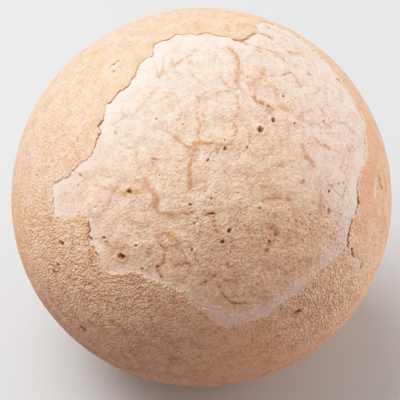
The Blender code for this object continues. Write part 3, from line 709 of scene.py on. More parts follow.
def crust_shell(loop):
    """The crust as a closed shell: its skin, the wall of the broken edge and its hidden inside."""
    inward = inward_of(loop)
    scale = map_length(1, loop)[:, None]
    rim = from_map(loop)
    zones = crust_zones(rim, loop)
    ring = back_ring(BACK_STEP)
    rows = [loop - inward * scale * away for away in EDGE_ROWS]
    points = np.vstack((loop, *rows, to_map(zones), ring))
    triangles, fan = joined_up(points, len(loop), len(ring))
    triangles = outside(triangles, points, loop)
    directions = np.vstack((from_map(points), (0, 0, -1)))
    edge = distance_to(rim, directions)
    radii = body_radius(directions) - LIP_ROUNDING * np.exp(-((edge / LIP_WIDTH) ** 2))
    places = [off_floor(in_frame(directions, radii), 0)]
    faces = [triangles, fan]
    skin, wall = [np.ones(len(directions))], [np.zeros(len(directions))]
    start = len(directions)

    lean = UNDERCUT + (LOW_SLOPE - UNDERCUT) * smooth_step(inward[:, 1], *SLOPE_BAND)
    above = np.arange(len(loop))
    top = body_radius(rim)
    for depth, reach in WALL_ROWS:
        lower = Vector((0, 0, depth * WALL_DRIFT))
        unevenness = np.array([noise.noise(Vector(d) * WALL_FINENESS + lower) for d in rim])
        shift = inward * scale * (lean * reach + WALL_NOISE * unevenness * bool(reach))[:, None]
        places.append(in_frame(from_map(loop + shift), top - depth))
        below = start + np.arange(len(loop))
        faces.append(np.column_stack((above, np.roll(above, -1), np.roll(below, -1))))
        faces.append(np.column_stack((above, np.roll(below, -1), below)))
        skin.append(np.full(len(loop), WALL_SKIN if reach else 0.0))
        wall.append(np.ones(len(loop)))
        above, start = below, start + len(loop)

    inside = off_window(spread(HIDDEN_STEP), rim, loop, HIDDEN_STEP / 2)
    ring = back_ring(HIDDEN_STEP)
    points = np.vstack((loop, to_map(inside), ring))
    triangles, fan = joined_up(points, len(loop), len(ring))
    triangles = np.vstack((outside(triangles, points, loop), fan))[:, ::-1]
    directions = np.vstack((from_map(points[len(loop):]), (0, 0, -1)))
    places.append(off_floor(in_frame(directions, body_radius(directions) - WALL_ROWS[-1][0]), INSIDE_FLOOR))
    faces.append(triangles + start - len(loop))
    skin.append(np.zeros(len(directions)))
    wall.append(np.zeros(len(directions)))

    places = np.vstack(places)
    faces = np.vstack(faces)
    outward = (places - MIDDLE) @ FACE_AXES.T
    outward /= np.linalg.norm(outward, axis=1, keepdims=True)
    edges = np.zeros(len(places))
    edges[: len(edge)] = edge
    numbers = {
        "skin": np.concatenate(skin), "wall": np.concatenate(wall), "edge": edges,
        "grain": graininess(outward), "sand": graininess(outward, SAND_REACH),
    }
    return make_piece("crust", places, faces, numbers)


def middle_of_egg():
    """The egg's middle, in mm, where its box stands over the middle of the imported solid's."""
    directions = spiral(BACK_STEP)
    reach = directions * body_radius(directions)[:, None] @ FACE_AXES
    box = np.array((solid_low, solid_high)).mean(0) / MM
    middle = box - (reach.min(0) + reach.max(0)) / 2
    middle[2] = CENTRE_HEIGHT
    return middle


# ---------------------------------------------------------------- node trees
def arithmetic(operation, swapped=False):
    """A wire's method that adds one node; the wire is the node's second side where swapped."""
    def method(self, other=0.0):
        return self.join(operation, other, self) if swapped else self.join(operation, self, other)
    return method


class Wire:
    """A socket. Arithmetic on it adds Math nodes, or Vector Math nodes where a side is a vector."""

    def __init__(self, bench, socket):
        self.bench = bench
        self.socket = socket

    def is_vector(self):
        return self.socket.type in ("VECTOR", "RGBA")

    def join(self, operation, first, second):
        """One Math or Vector Math node; a number beside a vector counts for all three of its parts."""
        sides = (first, second)
        if any(isinstance(s, tuple) or (isinstance(s, Wire) and s.is_vector()) for s in sides):
            parts = {i: (s, s, s) if isinstance(s, (int, float)) else s for i, s in enumerate(sides)}
            return self.bench.node("ShaderNodeVectorMath", {"operation": operation}, parts)
        return self.bench.node("ShaderNodeMath", {"operation": operation}, dict(enumerate(sides)))

    __add__, __radd__ = arithmetic("ADD"), arithmetic("ADD", True)
    __sub__, __rsub__ = arithmetic("SUBTRACT"), arithmetic("SUBTRACT", True)
    __mul__, __rmul__ = arithmetic("MULTIPLY"), arithmetic("MULTIPLY", True)
    __truediv__, __rtruediv__ = arithmetic("DIVIDE"), arithmetic("DIVIDE", True)
    above, below = arithmetic("MAXIMUM"), arithmetic("MINIMUM")
    power, size = arithmetic("POWER"), arithmetic("ABSOLUTE")

    def length(self):
        return self.bench.node("ShaderNodeVectorMath", {"operation": "LENGTH"}, {0: self}, 1)

    def unit(self):
        return self.bench.node("ShaderNodeVectorMath", {"operation": "NORMALIZE"}, {0: self})

    def along(self, direction):
        sockets = {0: self, 1: tuple(direction)}
        return self.bench.node("ShaderNodeVectorMath", {"operation": "DOT_PRODUCT"}, sockets, 1)

    def step(self, low, high):
        """0 up to low, 1 from high, and smooth between."""
        sockets = {"Value": self, "From Min": low, "From Max": high}
        return self.bench.node("ShaderNodeMapRange", {"interpolation_type": "SMOOTHSTEP"}, sockets)

    def fade(self, low, high):
        """1 up to low, 0 from high, and smooth between."""
        return 1 - self.step(low, high)

    def near(self, middle, low, high):
        """1 where it is less than low from the middle, and 0 where it is more than high from it."""
        return (self - middle).size().fade(low, high)


class Bench:
    """A node tree being built."""

    def __init__(self, tree):
        self.tree = tree

    def node(self, kind, settings=None, sockets=None, output=0):
        """A node with its settings, then the values or links of its sockets; returns one output."""
        made = self.tree.nodes.new(kind)
        for name, value in (settings or {}).items():
            setattr(made, name, value)
        for key, value in (sockets or {}).items():
            if isinstance(value, Wire):
                self.tree.links.new(value.socket, made.inputs[key])
            else:
                made.inputs[key].default_value = value
        return Wire(self, made.outputs[output])

    def mix(self, first, second, share):
        """From the first colour to the second, by share."""
        sides = [(*side, 1.0) if isinstance(side, tuple) else side for side in (first, second)]
        return self.node("ShaderNodeMix", {"data_type": "RGBA"}, {0: share, 6: sides[0], 7: sides[1]}, 2)

    def noise(self, place, size, detail=2.0, roughness=0.5, output="Fac"):
        """Cloudy noise with features of this size in mm, from 0 to 1."""
        sockets = {"Vector": place, "Scale": 1 / size, "Detail": detail, "Roughness": roughness}
        return self.node("ShaderNodeTexNoise", None, sockets, output)

    def wobble(self, place, size, reach, detail=2.0, roughness=0.5, output="Fac"):
        """The same noise, spread evenly round 0 over this reach."""
        return (self.noise(place, size, detail, roughness, output) - 0.5) * reach

    def stray(self, place, size, reach, detail=2.0, roughness=0.5):
        """A vector of such noise, which bends the lines of what is measured from the place."""
        return self.wobble(place, size, reach, detail, roughness, "Color")

    def drawn_out(self, place):
        """The place as the streaky noise reads it: stretched along the streaks."""
        way = FACE_RIGHT * STREAK[0] + FACE_UP * STREAK[1]
        return place - place.along(way) * tuple(way * STREAKINESS)

    def cells(self, place, size, feature="F1", output="Distance"):
        sockets = {"Vector": place, "Scale": 1 / size}
        return self.node("ShaderNodeTexVoronoi", {"feature": feature}, sockets, output)

    def cell_number(self, place, size):
        """A number of its own, from 0 to 1, for each cell."""
        return self.cells(place, size, output="Color").along((1, 0, 0))

    def tints(self, place, size):
        """A shade of its own, from 0 to 1, for each of the small grains that cover the place."""
        return self.cell_number(place + self.stray(place, size * 1.5, size, 1), size)

    def grains(self, place, size):
        """The crust's grains, this far apart in mm: 0 between them, up to 1 on the tallest."""
        bent = place + self.stray(place, 0.7, 0.25)
        small, large = (self.one_size(bent, size * share) for share in (1.0, LARGE_GRAINS))
        return small.above(large * 0.7)

    def one_size(self, place, size):
        tall = self.cell_number(place, size)
        return self.cells(place, size).fade(0.1, 0.75) * (0.15 + 0.85 * tall)

    def result(self, wire):
        """Marks where the tree ends."""
        end = self.tree.nodes.new("NodeGroupOutput")
        self.tree.links.new(wire.socket, end.inputs[0])


class Shaping(Bench):
    """A Geometry Nodes tree that shapes a piece: it reads named inputs and works in mm."""

    def __init__(self, name, guides, sizes):
        super().__init__(bpy.data.node_groups.new(name, "GeometryNodeTree"))
        kinds = {
            "Piece": "Geometry", **dict.fromkeys(guides, "Object"), "Middle": "Vector",
            **dict.fromkeys(sizes, "Float"), "Finish": "Material",
        }
        self.sockets = {}
        for label, kind in kinds.items():
            made = self.tree.interface.new_socket(label, in_out="INPUT", socket_type=f"NodeSocket{kind}")
            self.sockets[label] = made.identifier
        self.tree.interface.new_socket("Piece", in_out="OUTPUT", socket_type="NodeSocketGeometry")
        self.place = self.node("GeometryNodeInputPosition") * PER_METRE
        self.outward = (self.node("GeometryNodeInputPosition") - self.given("Middle")).unit()

    def given(self, label):
        return self.node("NodeGroupInput", output=label)

    def kept(self, name):
        """A number that the mesh already carries."""
        return self.node("GeometryNodeInputNamedAttribute", None, {"Name": name})

    def guide(self, label):
        return self.node("GeometryNodeObjectInfo", None, {"Object": self.given(label)}, "Geometry")

    def nearest(self, guide, place, domain, names):
        """What the nearest edge or point of a guide carries, under each of the names."""
        sockets = {"Geometry": guide, "Sample Position": place / PER_METRE}
        index = self.node("GeometryNodeSampleNearest", {"domain": domain}, sockets)
        found = []
        for name in names:
            sockets = {"Geometry": guide, "Value": self.kept(name), "Index": index}
            found.append(self.node("GeometryNodeSampleIndex", {"domain": domain}, sockets))
        return found

    def away(self, guide, place, element, size):
        """Distance from the place to the guide's nearest edge or point, as a multiple of that one's size."""
        sockets = {"Geometry": guide, "Sample Position": place / PER_METRE}
        metres = self.node("GeometryNodeProximity", {"target_element": element}, sockets, "Distance")
        return (metres * PER_METRE / size).below(FARTHEST)

    def lines(self, label, bent, wavering):
        """How far the place is from the nearest line, in its widths, and that line's shade and strength."""
        guide = self.guide(label)
        width, shade, strength = self.nearest(guide, bent, "EDGE", ("width", "shade", "strength"))
        return self.away(guide, wavering, "EDGES", width), shade, strength

    def pits(self, tremble):
        """The height of the pits, and what the finish reads of them."""
        guide = self.guide("Pits")
        radius, stain, hollow = self.nearest(guide, self.place, "POINT", ("radius", "stain", "hollow"))
        pit = self.away(guide, self.place + tremble, "POINTS", radius)
        bottom = pit.fade(*PIT_FLOOR) * PIT_DEPTH
        rim = (pit.step(*PIT_RIM_INSIDE) - pit.step(*PIT_RIM_OUTSIDE)) * PIT_RIM
        numbers = {"pit": pit, "stain": stain, "hollow": hollow, "deep": radius.step(*DEEP_RADII)}
        return (rim - bottom) * radius * hollow, numbers

    def end(self, height, numbers):
        """Keeps the numbers for the finish and moves the skin outward by height, in mm."""
        piece = self.given("Piece")
        for name, value in numbers.items():
            sockets = {"Geometry": piece, "Name": name, "Value": value}
            piece = self.node("GeometryNodeStoreNamedAttribute", None, sockets)
        offset = self.outward * (height * self.kept("skin") * MM)
        piece = self.node("GeometryNodeSetPosition", None, {"Geometry": piece, "Offset": offset})
        piece = self.node("GeometryNodeRealizeInstances", None, {"Geometry": piece})
        sockets = {"Geometry": piece, "Material": self.given("Finish")}
        self.result(self.node("GeometryNodeSetMaterial", None, sockets))


def shaped(piece, shaping, values):
    """The piece as the tree makes it, as a plain mesh with no modifier."""
    modifier = piece.modifiers.new(shaping.tree.name, "NODES")
    modifier.node_group = shaping.tree
    for label, value in values.items():
        modifier[shaping.sockets[label]] = value
    piece.update_tag()
    graph = bpy.context.evaluated_depsgraph_get()
    ready = piece.evaluated_get(graph)
    mesh = bpy.data.meshes.new_from_object(ready, preserve_all_data_layers=True, depsgraph=graph)
    piece.modifiers.clear()
    piece.data = mesh
    mesh.name = piece.name


# ---------------------------------------------------------------- guides that the trees measure from
def pit_guide(name, directions, radii, stains, hollows, in_stone):
    """Points for pits, which are hollow, and for spots of colour, which aren't."""
    directions = np.array(directions)
    places = in_frame(directions, body_radius(directions) - crust_depth(directions) * in_stone)
    numbers = {"radius": radii, "stain": stains, "hollow": hollows}
    return new_object(name, places, [], [], numbers, "POINT")


def line_guide(name, lines, in_stone):
    """Lines through the given places; each is a width, a shade, a strength and its places."""
    directions, edges, numbers = [], [], {"width": [], "shade": [], "strength": []}
    find = on_stone if in_stone else on_face
    for *values, places in lines:
        first = len(directions)
        directions += [find(right, up) for right, up in places]
        edges += [(step, step + 1) for step in range(first, len(directions) - 1)]
        for row, value in zip(numbers.values(), values):
            row += [value] * (len(places) - 1)
    directions = np.array(directions)
    radii = body_radius(directions) - crust_depth(directions) * in_stone
    return new_object(name, in_frame(directions, radii), edges, [], numbers, "EDGE")


def chip_lines():
    """Each chip as a line down its length, with its width and, for its shade, its depth."""
    lines = []
    for right, up, half_length, half_width, turn, depth in CHIPS:
        reach = half_length - half_width * 0.8
        turn = math.radians(turn)
        side = (reach * math.cos(turn), reach * math.sin(turn))
        ends = ((right - side[0], up - side[1]), (right + side[0], up + side[1]))
        lines.append((half_width * 2, depth, 1.0, ends))
    return lines


def hidden_pits():
    """Pits like those of the face, scattered behind it and clear of the flat spot."""
    dice = random.Random(HIDDEN_SEED)
    foot = Vector(FACE_AXES @ np.array((0, 0, -1)))
    made = []
    while len(made) < HIDDEN_PITS:
        direction = Vector((dice.gauss(0, 1), dice.gauss(0, 1), dice.gauss(0, 1))).normalized()
        radius = dice.uniform(*HIDDEN_RADII)
        behind = HIDDEN_BAND[0] < direction.z < HIDDEN_BAND[1]
        off_foot = direction.angle(foot) * EGG_RADIUS > FOOT_RADIUS + FOOT_CLEARANCE
        crowded = any(direction.angle(d) * EGG_RADIUS < r + PIT_CLEARANCE for d, r in made)
        if behind and off_foot and not crowded:
            made.append((direction, radius))
    return made


# ---------------------------------------------------------------- shaping
def stone_shaping():
    """Pits, veins and the fine unevenness of the bare stone."""
    shaping = Shaping("stone relief", ("Veins", "Pits"), ("Waviness", "Roughness"))
    place, noise_at = shaping.place, shaping.noise
    bent = place + shaping.stray(place, 1.6, 0.9)
    tremble = shaping.stray(place + (7.0, 3.0, 1.0), 0.5, 0.7, 3, 0.7)
    vein, shade, strength = shaping.lines("Veins", bent, bent + tremble * 0.7)
    pit_height, numbers = shaping.pits(tremble)

    drawn = shaping.drawn_out(place)
    broad = shaping.wobble(place, 2.4, shaping.given("Waviness"), 3)
    ridged = 0.5 - (noise_at(drawn, 0.55, 3, 0.65) - 0.5).size() * 2
    patchy = 0.4 + noise_at(place + (31.0, 0.0, 5.0), 4.0, 1).step(0.35, 0.62)
    heart = in_frame(np.array(on_face(*ROUGH_HEART)), EGG_RADIUS)
    rough = (place - tuple(heart)).length().fade(*ROUGH_REACH)
    fine = (ridged * 0.45 + shaping.wobble(drawn, 0.42, 2.0, 3, 0.7)) * shaping.given("Roughness")
    fine = fine * patchy * (0.3 + 0.7 * rough)
    slit = shade.step(0.92, 1.0) * SLIT_DEPTH
    groove = vein.fade(0.2, 0.8) * strength * (VEIN_DEPTH + slit)
    numbers.update({"vein": vein, "shade": shade, "strength": strength})
    shaping.end(broad + fine - groove + pit_height, numbers)
    return shaping


def crust_shaping():
    """Grains, pits, chips, cracks and the fine unevenness of the crust."""
    sizes = ("Grain height", "Grain size", "Roughness")
    shaping = Shaping("crust relief", ("Cracks", "Pits", "Chips"), sizes)
    place = shaping.place
    tremble = shaping.stray(place, 0.5, 0.5)
    crack, shade, strength = shaping.lines("Cracks", place, place + tremble)
    pit_height, numbers = shaping.pits(tremble)
    chips = shaping.guide("Chips")
    width, depth = shaping.nearest(chips, place, "EDGE", ("width", "shade"))
    jagged = shaping.stray(place + (0.0, 19.0, 0.0), 1.2, 1.4, 3, 0.7) * width
    chip = shaping.away(chips, place + jagged, "EDGES", width)

    clumps = shaping.wobble(place, 1.0, 0.75, 2, 0.6)
    grains = shaping.grains(shaping.outward * EGG_RADIUS, shaping.given("Grain size")) * 0.45
    bumps = (grains + clumps * 1.3) * shaping.kept("grain")
    fine = shaping.wobble(place, 0.7, shaping.given("Roughness"), 3, 0.65)
    broad = shaping.wobble(place, 5.0, 0.16)
    groove = crack.fade(0.15, 0.6) * strength * shade * -CRACK_DEPTH
    scar = chip.fade(0.36, 0.52) * depth * -1.0
    height = bumps * shaping.given("Grain height") + fine + broad + groove + scar + pit_height
    numbers.update({"crack": crack, "shade": shade, "strength": strength, "chip": chip})
    shaping.end(height, numbers)
    return shaping

# ---------------------------------------------------------------- finishes
class Finish(Bench):
    """A material on a Principled shader, which reads places on the egg in mm."""

    def __init__(self, name, roughness, colour):
        self.material = bpy.data.materials.new(name)
        self.material.use_nodes = True
        super().__init__(self.material.node_tree)
        self.shader = self.tree.nodes["Principled BSDF"]
        self.shader.inputs["Roughness"].default_value = roughness
        self.shader.inputs["Specular IOR Level"].default_value = SHEEN
        self.colour = colour
        coordinates = self.node("ShaderNodeTexCoord", output="Object")
        self.place = coordinates * PER_METRE - tuple(MIDDLE)
        self.level = self.place.unit() * EGG_RADIUS
        self.right = self.place.along(FACE_RIGHT)
        self.up = self.place.along(FACE_UP)

    def kept(self, name):
        return self.node("ShaderNodeAttribute", {"attribute_name": name}, None, "Fac")

    def paint(self, colour, share):
        """Lays a colour over what is there, by share."""
        self.colour = self.mix(self.colour, colour, share)

    def dark_seam(self, line, strength):
        """Darkens this line where it runs along the window's right edge, with gaps."""
        seam = line * self.right.step(21.5, 22.5) * self.up.near(-3.0, 4.5, 7.0)
        self.paint(EDGE_SHADE_AND_SEAM, seam * self.noise(self.place, 1.2, 3, 0.7).step(0.38, 0.5) * strength)

    def stains(self, colour, reach, strength):
        """Blotches of a colour round the pits and on the spots."""
        blotch = self.kept("pit") + self.wobble(self.place, 0.8, 3.2, 3, 0.7)
        self.paint(colour, blotch.fade(0.6, reach) * self.kept("stain") * strength)

    def pit_bottoms(self, pit, reach):
        """Brown in the pits, darkest in the middle of the deep ones."""
        shade = self.mix(PIT_BROWN, PIT_DARK, self.kept("deep") * pit.fade(0.1, 0.8))
        self.paint(shade, pit.fade(0.45, reach) * self.kept("hollow") * 0.9)

    def end(self, height, depth):
        """Shows the colour, and fine relief, in mm, below what the mesh carries; returns the material."""
        sockets = {"Height": height * (depth * MM), "Distance": 1.0}
        bump = self.node("ShaderNodeBump", None, sockets, "Normal")
        for wire, socket in ((self.colour, "Base Color"), (bump, "Normal")):
            self.tree.links.new(wire.socket, self.shader.inputs[socket])
        return self.material


def stone_finish():
    """Pale bare stone, off-white to buff, with orange veins and brown pits."""
    finish = Finish("bare stone", STONE_MATTNESS, STONE_BUFF)
    place, right, up = finish.place, finish.right, finish.up
    noise_at, paint, kept = finish.noise, finish.paint, finish.kept
    edge = kept("edge") + finish.wobble(place, 1.8, 2.2, 3)

    cloud = noise_at(place, 7.0, 3, 0.6)
    paint(STONE_PALE, cloud.step(0.38, 0.62))
    paint(STONE_CREAM, noise_at(place + (9.0, 0.0, 0.0), 2.2, 3, 0.6).step(0.5, 0.62) * 0.8)
    paint(STONE_PINK, noise_at(place + (0.0, 40.0, 0.0), 1.6, 3, 0.6).step(0.5, 0.64) * 0.7)
    paint(STONE_YELLOW, noise_at(place + (0.0, 0.0, 70.0), 1.8, 3, 0.6).step(0.55, 0.7) * 0.5)
    # Painted light: the stone is whitened toward the top and upper left, where the main light falls.
    high = (up - right * 0.4 + (cloud - 0.5) * 16.0).step(10.0, 26.0)
    paint(STONE_WHITE, high * 0.7)
    mottle = noise_at(place + (0.0, 27.0, 0.0), 1.7, 4, 0.7)
    low = up.fade(-14.0, -5.0)
    paint(STONE_WARM, mottle.step(0.52, 0.6) * 0.7 * (1 - low * 0.6))
    upper_right = (right * 0.6 + up * 0.8 + (cloud - 0.5) * 10.0).step(14.0, 20.0)
    paint(STONE_DUSK, mottle.fade(0.4, 0.49) * (0.5 + 0.15 * upper_right))
    calm = (up * 0.8 - right * 0.8).step(12.0, 22.0)
    lively = 1 - calm * 0.55
    flecks = noise_at(place + (21.0, 0.0, 0.0), 0.8, 3, 0.75)
    paint(STONE_WARM, flecks.step(0.53, 0.62) * 0.75 * lively * (1 - low * 0.4))
    paint(STONE_DUSK, flecks.fade(0.38, 0.47) * 0.5 * (1 - calm * 0.3))
    tinges = noise_at(place + (0.0, 9.0, 0.0), 0.7, 2, 0.7).step(0.54, 0.68)
    paint(STONE_YELLOW, tinges * 0.3 * lively)

    rim = edge.fade(0.3, 1.8) * noise_at(place + (8.0, 0.0, 0.0), 2.5, 3, 0.6).step(0.38, 0.55)
    lilac = (right * 0.7 - up * 0.7).step(8.0, 16.0)
    wide = right.near(19.0, 2.0, 8.0) * up.near(-8.0, 3.0, 8.0)
    band = edge.fade(1.2 + 0.8 * wide, 2.6 + 2.6 * wide)
    frost = finish.tints(place + (4.0, 0.0, 0.0), 0.3).step(0.55, 0.9) * edge.fade(0.6, 3.0)
    paint(STONE_WHITE, rim * 0.8 * (1 - lilac))
    paint(STONE_LILAC, band * lilac * 0.85)
    paint(STONE_WHITE, frost * lilac * 0.6)
    fair = right.step(11.0, 22.0) * up.step(-8.0, 3.0)
    paint(STONE_WHITE, fair * 0.75)
    rosy = (upper_right + right.fade(-18.0, -9.0) * 0.6).below(1.0)
    paint(STONE_ROSE, rosy * 0.35)
    smudge = noise_at(place + (0.0, 77.0, 0.0), 2.2, 3, 0.65)
    paint(VEIN_RED, smudge.step(0.54, 0.66) * upper_right * 0.3)
    paint(STONE_WHITE, smudge.fade(0.38, 0.47) * upper_right * 0.5)
    # Painted shade: the stone is darker and greyer toward the bottom tip and the lower middle.
    tip = up.fade(-20.0, -11.0) * (0.8 - 0.45 * band)
    lower_middle = up.fade(-14.0, -9.0) * right.step(1.0, 6.0)
    paint(STONE_SHADE, lower_middle * (1 - tip) * 0.12)
    paint(STONE_TIP_SHADE, tip)
    paint(STONE_SHADE, tip * mottle.fade(0.4, 0.48) * 0.6)
    across, along = right - TAN_PLACE[0], up - TAN_PLACE[1]
    from_tan = (across * across + along * along).power(0.5)
    paint(STONE_TAN, (from_tan + (cloud - 0.5) * 14.0).fade(4.0, 11.0) * 0.85)

    rough = up.near(-6.0, 2.0, 10.0) * right.near(13.0, 6.0, 22.0)
    warp = finish.stray(place, 1.2, 2.2, 3, 0.6)
    threads = finish.cells(place + warp, 3.4, "DISTANCE_TO_EDGE")
    patches = noise_at(place + (13.0, 5.0, 0.0), 3.5, 3).step(0.47, 0.6)
    thread = threads.fade(0.01, 0.07) * patches
    hair = finish.cells(place + warp * 0.8 + (5.0, 5.0, 5.0), 1.5, "DISTANCE_TO_EDGE")
    hairs = hair.fade(0.0, 0.11) * noise_at(place + (3.0, 55.0, 0.0), 1.8, 3).step(0.45, 0.6)
    away = edge.step(1.2, 2.6)
    paint(VEIN_RED, thread * 0.8 * away)
    paint(VEIN_RED, hairs * 0.4 * away * lively)
    paint(VEIN_RED, hairs * upper_right * away * 0.4)
    rusty = noise_at(place + (0.0, 31.0, 8.0), 1.3, 4, 0.75).step(0.55, 0.68)
    paint(VEIN_ORANGE, rusty * (0.08 + 0.6 * upper_right) * lively * away)
    knots = noise_at(place + (61.0, 0.0, 0.0), 0.45, 1).step(0.66, 0.76)
    knots = knots * noise_at(place, 3.0, 2).step(0.4, 0.6)
    paint(VEIN_BROWN, knots * 0.6 * lively * away)
    pocks = finish.cells(place, 0.55).fade(0.1, 0.42)
    pocks = pocks * finish.cell_number(place, 0.55).step(0.4, 0.95)
    paint(PIT_BROWN, pocks * (0.1 + 0.35 * rough) * away)

    speckle = finish.tints(place, 0.26)
    paint(STONE_SHADE, speckle.step(0.72, 0.95) * (0.25 + 0.3 * rough + 0.15 * upper_right))
    paint(STONE_WARM, speckle.fade(0.05, 0.3) * 0.7 * lively)

    ragged = noise_at(place, 0.5, 3, 0.7)
    vein = kept("vein") * 0.75 + (ragged - 0.5) * 1.4 + (speckle - 0.5) * 0.25
    vein_colour = finish.mix(VEIN_ORANGE, VEIN_BROWN, kept("shade").step(0.1, 0.9))
    broken = noise_at(place + (17.0, 0.0, 0.0), 1.0, 2, 0.7).step(0.34, 0.58)
    strength = kept("strength") * (0.2 + 1.0 * broken)
    halo = vein.fade(0.2, 1.7)
    line = vein.fade(0.1, 0.7) * 0.8
    paint(vein_colour, ((halo * 0.5 + line) * strength).below(1.0))
    paint(VEIN_BROWN, vein.fade(0.0, 0.35) * flecks.step(0.4, 0.6) * strength * 0.4)

    finish.dark_seam((kept("edge") + (ragged - 0.5) * 0.5).fade(0.06, 0.22), 0.8)

    finish.stains(STAIN, 2.6, 0.75)
    pit = kept("pit") + (ragged - 0.5) * (0.8 + 1.2 * kept("deep"))
    # Pale rings round the pits: partly a paler rim of the stone, partly painted highlight standing in for
    # their lit rims.
    ring = pit.step(0.8, 1.1) - pit.step(1.3, 2.0)
    paint(STONE_WHITE, ring * kept("hollow") * (1 - kept("stain")) * 0.5)
    finish.pit_bottoms(pit, 1.15)
    worn = 0.5 - calm * 0.3 + rough * 0.45
    fine = noise_at(finish.drawn_out(place), 0.36, 1, 0.6) * worn
    return finish.end(fine - pocks * (0.15 + 0.4 * rough), STONE_BUMP)


def crust_finish():
    """The shell crust: cream above, tan to pinkish brown below, with painted shade in the gaps between its
    grains and painted highlight on the tallest of them.
    """
    finish = Finish("shell crust", CRUST_MATTNESS, CRUST_BROWN)
    place, right, up = finish.place, finish.right, finish.up
    noise_at, paint, kept = finish.noise, finish.paint, finish.kept
    cloud = noise_at(place, 9.0, 3, 0.6)
    sand, edge = kept("sand"), kept("edge")
    left = (right * -1.0 - up * 0.35).step(6.0, 24.0)

    level = up + (cloud - 0.5) * 16.0
    paint(CRUST_TAN, level.step(-27.0, -8.0))
    paint(CRUST_CREAM, level.step(2.0, 26.0))
    pale = (up * 0.8 - right * 0.6 + (cloud - 0.5) * 10.0).step(14.0, 27.0)
    paint(CRUST_PALE, pale * 0.8)
    paint(CRUST_SAND, sand * 0.9)
    tinges = noise_at(place + (50.0, 0.0, 0.0), 3.0, 3, 0.6).step(0.52, 0.7)
    paint(CRUST_ORANGE, tinges * (0.45 - 0.2 * sand))
    tinges = noise_at(place + (0.0, 60.0, 0.0), 2.2, 3, 0.6).step(0.52, 0.68)
    paint(CRUST_PINK, tinges * (0.5 - 0.3 * sand))
    mottle = noise_at(place + (0.0, 0.0, 33.0), 1.1, 3, 0.7)
    paint(CRUST_SAND, mottle.step(0.51, 0.6) * 0.45)
    paint(CRUST_DUSK, mottle.fade(0.38, 0.49) * (0.45 - 0.2 * sand))
    cloudy = noise_at(place + (70.0, 0.0, 33.0), 2.0, 3, 0.65)
    paint(CRUST_DUSK, cloudy.fade(0.38, 0.47) * (0.65 + 0.2 * left - 0.35 * sand))
    paint(CRUST_SAND, cloudy.step(0.51, 0.6) * 0.5)
    rusty = noise_at(place + (44.0, 0.0, 0.0), 1.6, 4, 0.7)
    rusty = rusty - noise_at(place + (0.0, 88.0, 0.0), 6.0) * 0.5
    paint(CRUST_ORANGE, rusty.step(0.26, 0.36) * 0.8)

    ragged = noise_at(place, 0.7, 3, 0.65)
    loose, tight = edge + (ragged - 0.5) * 1.6, edge + (ragged - 0.5) * 0.4
    upper_left = (up * 0.6 - right * 0.8).step(4.0, 14.0)
    right_side = right.step(19.0, 23.0) * up.near(0.0, 11.0, 18.0)
    paint(CRUST_PINK, left * up.near(6.0, 5.0, 12.0) * 0.5)
    paint(CRUST_ORANGE, left * up.near(-6.0, 3.0, 9.0) * 0.4)
    paint(CRUST_ORANGE, loose.fade(0.5, 2.6) * upper_left * 0.6)
    paint(CRUST_TAN_ORANGE, loose.fade(3.0, 8.0) * right_side * 0.85)
    # Painted highlight: the lip and wall of the broken edge are lightened where they face the light, all
    # round but the upper left and most along the right.
    upper_right = right.step(10.0, 16.0) * up.step(-4.0, 4.0)
    paint(CRUST_LIP_HIGHLIGHT, upper_right * tight.fade(0.25, 0.6) * 0.9)
    paint(CRUST_LIP_HIGHLIGHT, tight.fade(0.1, 0.34) * (1 - upper_left) * 0.9)
    paint(CRUST_LIP_HIGHLIGHT, kept("wall") * (1 - upper_left) * 0.6)
    # Painted shade: the wall of the broken edge along the upper left faces away from the main light and is
    # darkened in patches, less so along the top.
    shaded = upper_left * up.step(1.0, 4.0) * noise_at(place, 1.2, 3, 0.7).step(0.42, 0.58)
    paint(EDGE_SHADE_AND_SEAM, kept("wall") * shaded * (1 - up.step(17.0, 24.0) * 0.6))

    finish.dark_seam((edge + (ragged - 0.5) * 0.3).fade(0.04, 0.16), 0.85)

    grains = finish.grains(finish.level, GRAIN_SIZE) * 0.4
    grains = grains + noise_at(place + (5.0, 5.0, 0.0), 0.42, 1, 0.8) * 1.4
    # Painted shade between the grains and painted highlight on the tallest ones, following the same grains as
    # the bump.
    paint(CRUST_GAP, grains.fade(0.45, 0.65) * sand * 0.2)
    paint(CRUST_BRIGHT, grains.step(0.7, 0.95) * sand * 0.5)
    sandy = finish.tints(place, 0.30)
    coarse = 0.3 + 0.7 * (sand + left).below(1.0)
    paint(CRUST_GAP, sandy.fade(0.06, 0.3) * coarse * (0.5 - 0.3 * sand))
    paint(CRUST_SAND, sandy.step(0.45, 0.8) * coarse * 0.9)
    paint(CRUST_BRIGHT, sandy.step(0.45, 0.8) * sand * 0.85)
    specks = finish.tints(place + (0.0, 5.0, 15.0), 0.24)
    low = up.fade(-22.0, -14.0)
    paint(CRUST_GAP, specks.step(0.8, 0.95) * (0.5 - 0.35 * sand) * (1 - 0.6 * low))
    paint(CRUST_SAND, specks.fade(0.1, 0.3) * 0.45)
    smoky = noise_at(place + (30.0, 12.0, 0.0), 2.4, 3, 0.65)
    paint(CRUST_DUSK, smoky.fade(0.38, 0.5) * (0.2 + 0.08 * sand + 0.1 * left))
    paint(CRUST_BRIGHT, smoky.step(0.5, 0.6) * (0.15 + 0.45 * sand))
    stained = left * up.near(-5.0, 4.0, 9.0)
    paint(CRUST_ORANGE, stained * (0.04 + 0.5 * rusty.step(0.22, 0.34)))
    # Painted shade: the bottom of the crust is tinted darker and browner.
    paint(CRUST_STAIN_AND_SHADE, low * 0.15)

    lines = finish.cells(place + finish.stray(place, 1.4, 1.4), 3.0, "DISTANCE_TO_EDGE")
    faint = lines.fade(0.01, 0.07) * noise_at(place + (3.0, 9.0, 0.0), 4.0, 2).step(0.46, 0.6)
    paint(CRUST_GAP, faint * (0.25 + 0.1 * low))

